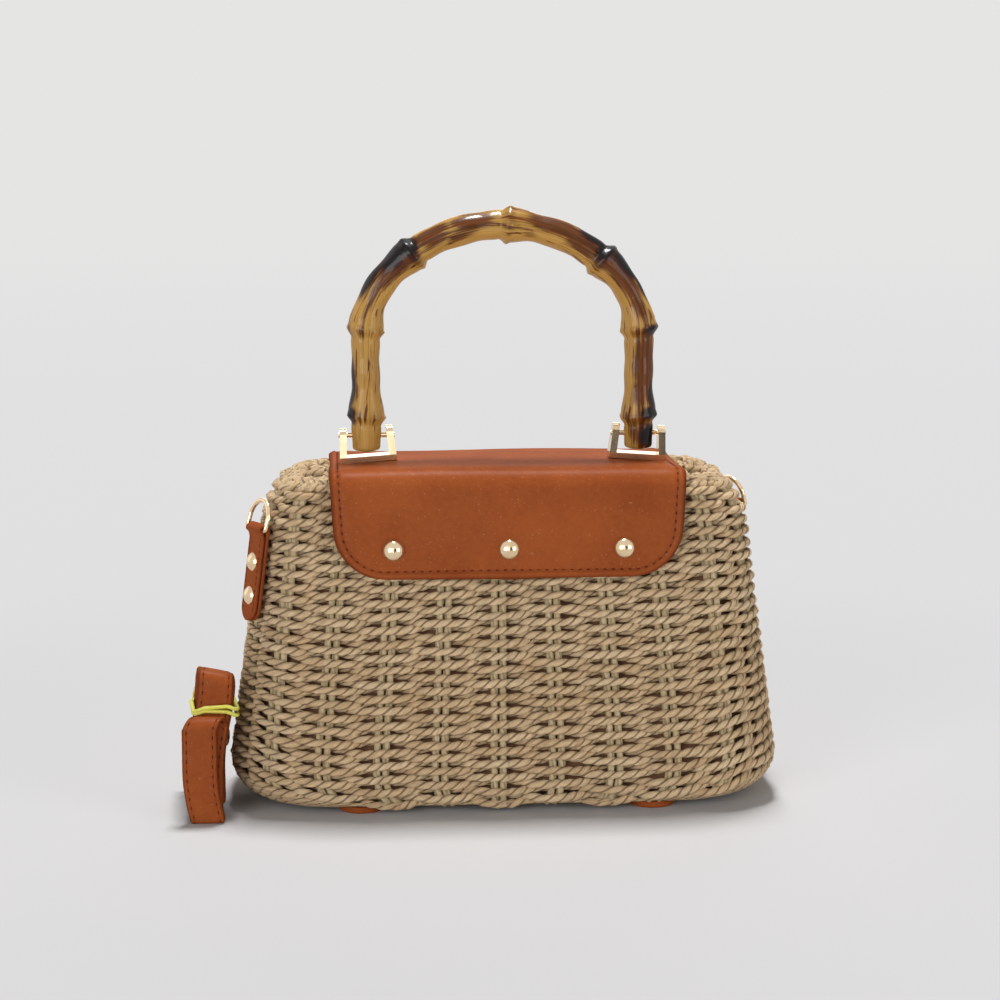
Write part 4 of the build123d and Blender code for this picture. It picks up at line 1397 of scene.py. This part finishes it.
@dataclass
class StrapHank:
    """Shoulder strap, doubled, folded to and fro and tied by a rubber band."""

    x: float = -140.7
    front: float = -52.0
    low: float = 8.4
    highs: tuple[float, ...] = (43.6, 62.3, 59.5, 57.5)
    width: float = 15.8
    thick: float = 2.3
    strand_gap: float = 0.4
    run_gap: float = 0.8
    runs: int = 8
    end_low: float = 21.0
    eye_radius: float = 3.0
    eye_spacing: float = 6.8
    lean: float = 8.0
    lean_turn: float = 0.2
    lean_shares: tuple[float, ...] = (0.0, 0.85, 0.95, 1.0, 0.95, 0.85, 0.7, 0.5)
    band_height: float = 51.0
    band_radius: float = 1.05

    @property
    def doubled(self) -> float:
        """Thickness of the doubled strap."""
        return 2 * self.thick + self.strand_gap

    def middle_line(self) -> tuple[Array, Array]:
        """Doubled line from the loop at the front to the last run.

        Returns:
            Y and Z of each point, and the run that it belongs to.
        """
        pitch = self.doubled + self.run_gap
        points, run_of = [], []
        for run in range(self.runs):
            y = self.front + self.doubled / 2 + run * pitch
            low = self.low if run else self.doubled / 2
            high = self.highs[run // 2]
            heights = np.linspace(low, high, 26)
            heights = heights[::-1] if run % 2 else heights
            points.append(np.column_stack((np.full(26, y), heights)))
            run_of.append(np.full(26, float(run)))
            if run < self.runs - 1:
                angles = np.linspace(math.pi, 0, 9)[1:-1]
                flip = -1 if run % 2 else 1
                fold = self.low if run % 2 else high
                across, along = pitch / 2 * (1 + np.cos(angles)), pitch / 2 * np.sin(angles)
                points.append(np.column_stack((y + across, fold + flip * along)))
                run_of.append(run + np.linspace(0, 1, 9)[1:-1])
        return np.vstack(points), np.concatenate(run_of)

    def path(self) -> Array:
        """Middle line of the whole strap, from one end to the other."""
        line, run_of = self.middle_line()
        held = np.interp(run_of, np.arange(self.runs), self.lean_shares)
        lean = held * self.lean * (0.25 + 0.75 * smooth(20.0, 64.0, line[:, 1]))
        foot_shift = 3.6 * np.clip(1 - run_of, 0, 1) * np.clip(1 - line[:, 1] / 26.0, 0, 1) ** 2
        x = self.x + lean + foot_shift + 0.4 * np.sin(2.1 * run_of)
        bulge = np.clip(1 - run_of, 0, 1) * np.sin(np.clip(line[:, 1] / 44.0, 0, 1) * math.pi) ** 2
        line = line - np.column_stack((1.6 * bulge, 0 * bulge))
        tangent = unit(np.gradient(line, axis=0))
        side = np.column_stack((-tangent[:, 1], tangent[:, 0])) * (self.thick + self.strand_gap) / 2
        strand_a, strand_b = (
            np.column_stack((x, line + hand * side)) for hand in (1, -1)
        )
        foot = self.front + self.doubled / 2
        angles = np.linspace(math.pi, TURN, 9)[1:-1]
        radius = (self.thick + self.strand_gap) / 2
        loop = np.column_stack(
            (np.full(7, x[0]), foot + radius * np.cos(angles), self.doubled / 2 + radius * np.sin(angles))
        )
        last = self.front + self.doubled / 2 + (self.runs - 1) * (self.doubled + self.run_gap)
        inner = last + self.doubled / 2 + 0.3 + self.eye_radius
        ends = []
        for start, end in ((last - radius, inner + self.eye_spacing), (last + radius, inner)):
            ends.append(self._end(start, end, x[-1]))
        a_end, b_end = (ends[0], ends[1]) if strand_a[-1, 1] < strand_b[-1, 1] else (ends[1], ends[0])
        return np.vstack((a_end[::-1], strand_a[::-1], loop, strand_b, b_end))

    def _end(self, start: float, end: float, x: float) -> Array:
        """Turn at the foot of the last run, the rise to the hook and the loop round its eye."""
        angles = np.linspace(math.pi, TURN, 13)
        radius = (end - start) / 2
        middle = (start + end) / 2
        arc = np.column_stack((middle + radius * np.cos(angles), self.low + radius * np.sin(angles)))
        rise = np.column_stack((np.full(4, end), np.linspace(self.low + 3, self.end_low, 4)))
        eye = self.eye_radius - self.thick / 2
        turn = np.linspace(-0.35 * math.pi, 1.35 * math.pi, 16)
        eye_height = self.end_low + self.eye_radius
        loop = np.column_stack((end + eye * np.cos(turn), eye_height + eye * np.sin(turn)))
        flat = np.vstack((arc, rise, loop))
        return np.column_stack((np.linspace(x, self.x, len(flat)), flat))

    def band_strands(self, path: Array) -> list[Strand]:
        """Guide lines of the rubber band, two crossing turns round the hank."""
        near = path[np.abs(path[:, 2] - self.band_height) < 2.2]
        gap = self.band_radius + 0.2
        low, high = near[:, 1].min() - self.thick / 2 - gap, near[:, 1].max() + self.thick / 2 + gap
        u = np.arange(180) / 180
        half = self.width / 2 + gap + 0.8
        sizes = (np.full(180, size) for size in (half, (high - low) / 2, 3.4))
        flat, _ = BasketForm().ring(u, *sizes)
        y = flat[:, 1] + (low + high) / 2
        x = flat[:, 0] + np.polyval(np.polyfit(near[:, 1], near[:, 0], 1), y)
        sag = 1.6 * smooth(0.45, 1.0, np.abs(flat[:, 0]) / half) + 0.1 * (y - low)
        strands = []
        for tilt, lift in ((0.03, 1.1), (-0.07, -0.9)):
            z = self.band_height + lift - sag + flat[:, 0] * math.tan(tilt) + 0.15 * np.sin(TURN * 3 * u)
            strands.append(Strand(np.column_stack((x, y, z)), True, 1.0, 0.5 + tilt))
        return strands

    def build(self, ropes: RopeMaker, stitches: StitchMaker, finishes: Finishes) -> list[bpy.types.Object]:
        """Makes the strap, its stitches and the band.

        Args:
            ropes: The rope tree.
            stitches: The stitch tree.
            finishes: The bag's materials.

        Returns:
            The pieces, on the basket.
        """
        path = self.path()
        behind = smooth(self.front + 6.0, self.front + 11.0, path[:, 1])
        turn = self.lean_turn * behind * smooth(22.0, 60.0, path[:, 2])
        across = np.column_stack((np.cos(turn), np.zeros(len(turn)), -np.sin(turn)))
        strap = ribbon("strap_leather", path, across, self.width, self.thick)
        dress(strap, finishes.leather)
        settle(strap, Body.BASKET, Slot.LEATHER, "shoulder_strap")
        lift = self.thick / 2 - 0.2
        places = [(hand * self.width * 0.37, face * lift) for hand in (-1, 1) for face in (-1, 1)]
        seams = [seam(path, across, *place) for place in places]
        sizes = {"Pitch": 4.4 * MM, "Length": 2.1 * MM, "Width": 0.7 * MM, "Height": 0.6 * MM}
        thread = stitches.run(guide("strap_stitches", seams), {**sizes, "Material": finishes.thread})
        settle(thread, Body.BASKET, Slot.LEATHER)
        band_sizes = {"Lobe": self.band_radius * MM, "Waist": self.band_radius * 0.85 * MM, "Pitch": 0.09}
        line = guide("rubber_band", self.band_strands(path))
        band = ropes.run(line, {**band_sizes, "Sides": 8, "Material": finishes.rubber})
        settle(band, Body.BASKET, Slot.RUBBER, "strap_band")
        return [strap, thread, band]


@dataclass
class BambooHandle:
    """Bent bamboo cane with swollen knots, ring scars and scorched patches."""

    leg_x: float = 63.5
    foot: float = 163.0
    spring: float = 216.5
    side_radius: float = 42.0
    arch_rise: float = 51.0
    cane: float = 6.9
    knot: float = 8.6
    end_round: float = 2.4
    knot_shares: tuple[float, ...] = (0.055, 0.194, 0.345, 0.509, 0.672, 0.806, 0.945)
    knot_hands: tuple[int, ...] = (1, 1, -1, 1, 1, -1, -1)
    step: float = 0.8
    sides: int = 40
    seed: int = 11
    scorches: Patches = (
        (0.105, 0.15, 0.045, 0.6, 1.15), (0.06, 0.35, 0.016, 0.65, 1.1), (0.345, 0.8, 0.016, 1.0, 1.25),
        (0.318, 0.7, 0.028, 0.95, 1.2), (0.275, 0.4, 0.035, 0.65, 1.0), (0.666, 0.8, 0.013, 1.0, 1.25),
        (0.645, 0.35, 0.03, 0.7, 1.15), (0.70, 0.4, 0.035, 0.75, 1.25), (0.74, 0.2, 0.03, 0.6, 1.0),
        (0.806, 0.6, 0.008, 0.9, 1.0), (0.94, 0.6, 0.012, 1.0, 1.2), (0.915, 0.25, 0.03, 0.75, 1.15),
        (0.978, 0.7, 0.022, 1.0, 1.2),
    )
    stains: Patches = (
        (0.13, 1.6, 0.06, 1.2, 0.25), (0.27, 1.45, 0.06, 0.4, 0.65), (0.31, 1.3, 0.04, 0.8, 0.85),
        (0.385, 1.1, 0.03, 0.9, 0.85), (0.455, 1.0, 0.035, 0.8, 0.9), (0.43, 1.8, 0.04, 0.6, 0.5),
        (0.58, 0.95, 0.05, 0.8, 0.95), (0.63, 1.4, 0.035, 0.8, 0.9), (0.545, 2.1, 0.02, 0.4, 0.45),
        (0.72, 1.35, 0.045, 0.65, 1.0), (0.765, 1.4, 0.028, 0.5, 0.8), (0.86, 1.15, 0.05, 1.0, 1.0),
        (0.905, 1.5, 0.03, 0.8, 0.75), (0.975, 1.5, 0.03, 0.8, 0.75),
    )

    def middle_line(self) -> Array:
        """Middle of the cane, from the left foot over the arch to the right foot."""
        offset = self.leg_x - self.side_radius
        rise = self.arch_rise - self.side_radius
        drop = (offset**2 - rise**2) / (2 * rise)
        crown = self.arch_rise + drop
        haunch = math.atan2(drop, offset)
        leg = np.linspace(self.foot, self.spring, 80)
        left = [(-self.leg_x, z) for z in leg]
        angles, bend = np.linspace(math.pi, math.pi - haunch, 50)[1:], self.side_radius
        left += [(bend * math.cos(a) - offset, self.spring + bend * math.sin(a)) for a in angles]
        angles = np.linspace(math.pi - haunch, math.pi / 2, 70)[1:]
        left += [(crown * math.cos(a), self.spring - drop + crown * math.sin(a)) for a in angles]
        half = np.array(left)
        whole = np.vstack((half, half[-2::-1] * np.array([-1, 1])))
        ways = np.concatenate(([0], np.cumsum(np.linalg.norm(np.diff(whole, axis=0), axis=1))))
        spots = np.linspace(0, ways[-1], int(ways[-1] / self.step))
        return np.column_stack([np.interp(spots, ways, whole[:, axis]) for axis in (0, 1)])

    @staticmethod
    def _patched(share: Array, angle: Array, patches: Patches) -> Array:
        """Strongest of several soft patches at each point of the cane.

        Args:
            share: Share of the length at each ring.
            angle: Angle of each vertex of a ring.
            patches: Share, angle, reach along, reach around and strength of each patch.

        Returns:
            Strengths, one row for each ring.
        """
        strongest = np.zeros((len(share), len(angle)))
        for spot, turn, reach, spread, strength in patches:
            around = np.abs(np.mod(angle - turn + math.pi, TURN) - math.pi)
            soft = bell(share - spot, reach)[:, None] * bell(around, spread)
            strongest = np.maximum(strongest, strength * soft)
        return strongest

    def radii(self, way: Array, angle: Array) -> tuple[Array, Array]:
        """Shape of the cane with its knots and rounded ends.

        Args:
            way: Length from the left foot at each ring.
            angle: Angle of each vertex of a ring.

        Returns:
            Radius at each vertex, one row for each ring, and the nearness of a knot at each ring.
        """
        length = way[-1]
        draw = np.random.default_rng(self.seed)
        radius = np.full((len(way), self.sides), self.cane)
        rows = way[:, None]
        radius += 0.12 * np.sin(rows / 9.0 + 2 * angle) + 0.08 * np.sin(rows / 5.3 - 3 * angle)
        radius += 0.09 * np.sin(7 * angle + 1.3 * np.sin(rows / 45.0))
        knot = np.zeros(len(way))
        swell = self.knot - self.cane
        for share, hand in zip(self.knot_shares, self.knot_hands):
            tip = draw.uniform(-0.5, 0.5)
            lean = draw.uniform(-0.8, 0.8)
            roots = draw.integers(9, 13)
            away = hand * (rows - share * length) - 0.8 * np.cos(angle + lean) + tip
            flare = np.where(away > 0, bell(away, 8.0), bell(away, 2.2))
            ridge = swell * (0.95 * flare + 0.12 * bell(away, 1.5))
            ridge -= 0.12 * bell(away - 2.6, 0.9)
            ridge -= 0.35 * bell(away + 3.4, 1.1)
            buds = np.clip(np.cos(roots * angle + tip * 9), 0, 1) ** 2
            ridge += 0.5 * buds * bell(away - 0.2, 1.3)
            waist = -0.45 * bell(np.abs(away) - 13.0, 5.0)
            radius += ridge + waist
            knot = np.maximum(knot, bell(way - share * length, 3.2))
        for distance in (way, length - way):
            near = np.clip(1 - distance / self.end_round, 0, 1)
            radius -= (self.end_round * (1 - np.sqrt(1 - near**2)))[:, None]
        return radius, knot

    def build(self, finishes: Finishes) -> bpy.types.Object:
        """Makes the handle.

        Args:
            finishes: The bag's materials.

        Returns:
            The cane, on the handle body.
        """
        line = self.middle_line()
        count = len(line)
        length = self.step * (count - 1)
        way = np.linspace(0, length, count)
        angle = np.arange(self.sides) * TURN / self.sides
        radius, knot = self.radii(way, angle)
        tangent = unit(np.gradient(line, axis=0))
        outward = np.column_stack((-tangent[:, 1], np.zeros(count), tangent[:, 0]))
        middle = np.column_stack((line[:, 0], np.zeros(count), line[:, 1]))
        depth = np.array([0.0, -1.0, 0.0])
        spoke = outward[:, None] * np.cos(angle)[None, :, None] + depth * np.sin(angle)[None, :, None]
        rings = middle[:, None] + spoke * radius[..., None]
        cane = mesh_piece("bamboo_cane", rings.reshape(-1, 3), tube_faces(count, self.sides))
        for name, patches in (("burn", self.scorches), ("stain", self.stains)):
            keep(cane, name, self._patched(way / length, angle, patches).ravel())
        section = np.column_stack((np.cos(angle), np.sin(angle), np.zeros(self.sides)))
        keep(cane, "section", np.tile(section, (count, 1)))
        keep(cane, "along", np.repeat(way * MM, self.sides))
        keep(cane, "knot", np.repeat(knot, self.sides))
        turned_out(cane)
        dress(cane, finishes.bamboo)
        return settle(cane, Body.HANDLE, Slot.BAMBOO, "handle")


@dataclass
class Fittings:
    """Metal and leather pieces whose solids keep their shape."""

    gold: tuple[str, ...] = (
        "foot_rivets", "stud_posts", "back_rivets", "stud_caps", "stud_sockets",
        "bracket_left", "bracket_right", "bracket_screws", "bracket_washers", "handle_pins",
        "tab_rivets_left", "tab_rivets_right", "side_ring_left", "side_ring_right",
        "hook_eye_inner", "hook_eye_outer", "hook_claw_inner", "hook_claw_outer",
        "hook_gate_inner", "hook_gate_outer",
    )
    leather: tuple[str, ...] = ("foot_pads",)

    def dress(self, finishes: Finishes) -> None:
        """Gives each kept solid its finish."""
        for names, material in ((self.gold, finishes.gold), (self.leather, finishes.leather)):
            for name in names:
                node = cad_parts[name]
                for place in node.material_slots:
                    place.material = material
                log.info("%s keeps its shape", name)


@dataclass
class Studio:
    """Pale floor, soft light and the camera."""

    elevation: float = math.radians(9.5)
    yaw: float = math.radians(-4.0)
    distance: float = 1.12
    lens: float = 86.0
    aim: tuple[float, float, float] = (-0.0013, 0.0, 0.139)
    floor_radius: float = 9.0
    backdrop: Colour = srgb(229, 229, 228)
    floor: Colour = (0.58, 0.575, 0.58)
    near_floor: Colour = srgb(225, 224, 225)
    glow: float = 0.14
    lamps: tuple[tuple[str, tuple[float, float, float], float, float], ...] = (
        ("key_light", (-1.1, -1.6, 0.45), 0.9, 13.5),
        ("fill_light", (1.4, -1.3, 0.45), 1.0, 11.5),
        ("top_light", (0.05, 0.25, 1.8), 0.38, 31.0),
        ("front_card", (-0.85, -2.4, 0.6), 2.2, 13.5),
        ("side_card", (-1.9, 0.9, 0.7), 1.5, 3.0),
        ("back_card", (0.5, 2.5, 0.9), 1.8, 14.0),
    )

    def build(self) -> None:
        """Sets up the floor, the world, the lamps and the camera."""
        bpy.context.scene.view_settings.view_transform = "Standard"
        self._floor()
        self._world()
        for lamp in self.lamps:
            self._lamp(*lamp)
        self._dark_card()
        self._camera()

    def _floor(self) -> None:
        """Round floor that fades into the backdrop away from the bag."""
        count = 96
        angles = np.arange(count) * TURN / count
        rim = np.column_stack((np.cos(angles), np.sin(angles), np.zeros(count)))
        floor = mesh_piece("floor", rim * (self.floor_radius / MM), [tuple(range(count))])
        s = Shader("studio_floor")
        place = s.place()
        away = s.node("ShaderNodeVectorMath", {"operation": "LENGTH"}, {0: place}, out="Value")
        fade = away.between(0.2, 0.6)
        grain = s.noise(place, 300.0, 2.0)
        colour = s.mix(grain * 0.06, self.floor, (0.6, 0.6, 0.6))
        plain = s.node("ShaderNodeBsdfDiffuse", inputs={"Color": colour})
        tone = s.mix(away.between(0.4, 5.0), self.near_floor, self.backdrop)
        glow = s.node("ShaderNodeEmission", inputs={"Color": tone, "Strength": 1.0})
        both = s.node("ShaderNodeMixShader", inputs={0: fade, 1: plain, 2: glow})
        dress(floor, s.closed(both))

    def _world(self) -> None:
        """Soft light all round, and a plain backdrop for the camera and for reflections."""
        world = bpy.data.worlds.new("studio")
        bpy.context.scene.world = world
        world.use_nodes = True
        g = Graph(world.node_tree)
        world.node_tree.nodes.clear()
        kinds = ("Camera", "Transmission", "Glossy")
        camera, passed, mirrored = (g.node("ShaderNodeLightPath", out=f"Is {kind} Ray") for kind in kinds)
        seen = (camera + passed + mirrored).clamped()
        soft, plain = (
            g.node("ShaderNodeBackground", inputs={"Color": (*colour, 1.0), "Strength": strength})
            for colour, strength in (((1.0, 0.99, 0.97), self.glow), (self.backdrop, 1.0))
        )
        both = g.node("ShaderNodeMixShader", inputs={0: seen, 1: soft, 2: plain})
        output = world.node_tree.nodes.new("ShaderNodeOutputWorld")
        world.node_tree.links.new(both.socket, output.inputs["Surface"])

    @staticmethod
    def _dark_card() -> None:
        """Black card in front on the right, which only reflections show, for the metal's dark sides."""
        sides, heights = ((190.0, -2500.0), (1300.0, -2200.0)), (20.0, 1300.0)
        corners = [(*side, height) for height in heights for side in sides]
        card = mesh_piece("dark_card", np.array(corners), [(0, 1, 3, 2)])
        s = Shader("dark_card")
        dress(card, s.surface({}, {"Base Color": (0.01, 0.01, 0.01, 1.0), "Specular IOR Level": 0.0}))
        card.visible_camera = card.visible_diffuse = card.visible_shadow = False

    @staticmethod
    def _lamp(name: str, place: tuple[float, float, float], size: float, power: float) -> None:
        """Adds a soft square lamp that faces the bag."""
        data = bpy.data.lights.new(name, "AREA")
        data.size = size
        data.energy = power
        lamp = bpy.data.objects.new(name, data)
        lamp.visible_camera = False
        lamp.location = place
        lamp.rotation_euler = (Vector((0, 0, 0.1)) - Vector(place)).to_track_quat("-Z", "Y").to_euler()
        bpy.context.scene.collection.objects.link(lamp)

    def _camera(self) -> None:
        """Places the camera."""
        data = bpy.data.cameras.new("camera")
        data.lens = self.lens
        camera = bpy.data.objects.new("camera", data)
        flat, rise = (turn(self.elevation) * self.distance for turn in (math.cos, math.sin))
        offset = Vector((math.sin(self.yaw) * flat, -math.cos(self.yaw) * flat, rise))
        camera.location = Vector(self.aim) + offset
        camera.rotation_euler = (-offset).to_track_quat("-Z", "Y").to_euler()
        bpy.context.scene.collection.objects.link(camera)
        bpy.context.scene.camera = camera


def main() -> None:
    """Builds every piece of the bag in order."""
    logging.basicConfig(level=logging.INFO, format="%(name)s: %(message)s")
    Studio().build()
    finishes = Finishes()
    ropes, stitches = RopeMaker(), StitchMaker()
    form = BasketForm()
    weave = Weave(form)
    weave.build(ropes, finishes)
    Lining(form, weave).build(finishes)
    LeatherCover(form).build(stitches, finishes)
    for hand, side in (("left", -1), ("right", 1)):
        SideTab(form, hand, side).build(stitches, finishes)
    StrapHank().build(ropes, stitches, finishes)
    BambooHandle().build(finishes)
    Fittings().dress(finishes)


if __name__ == "__main__":
    main()
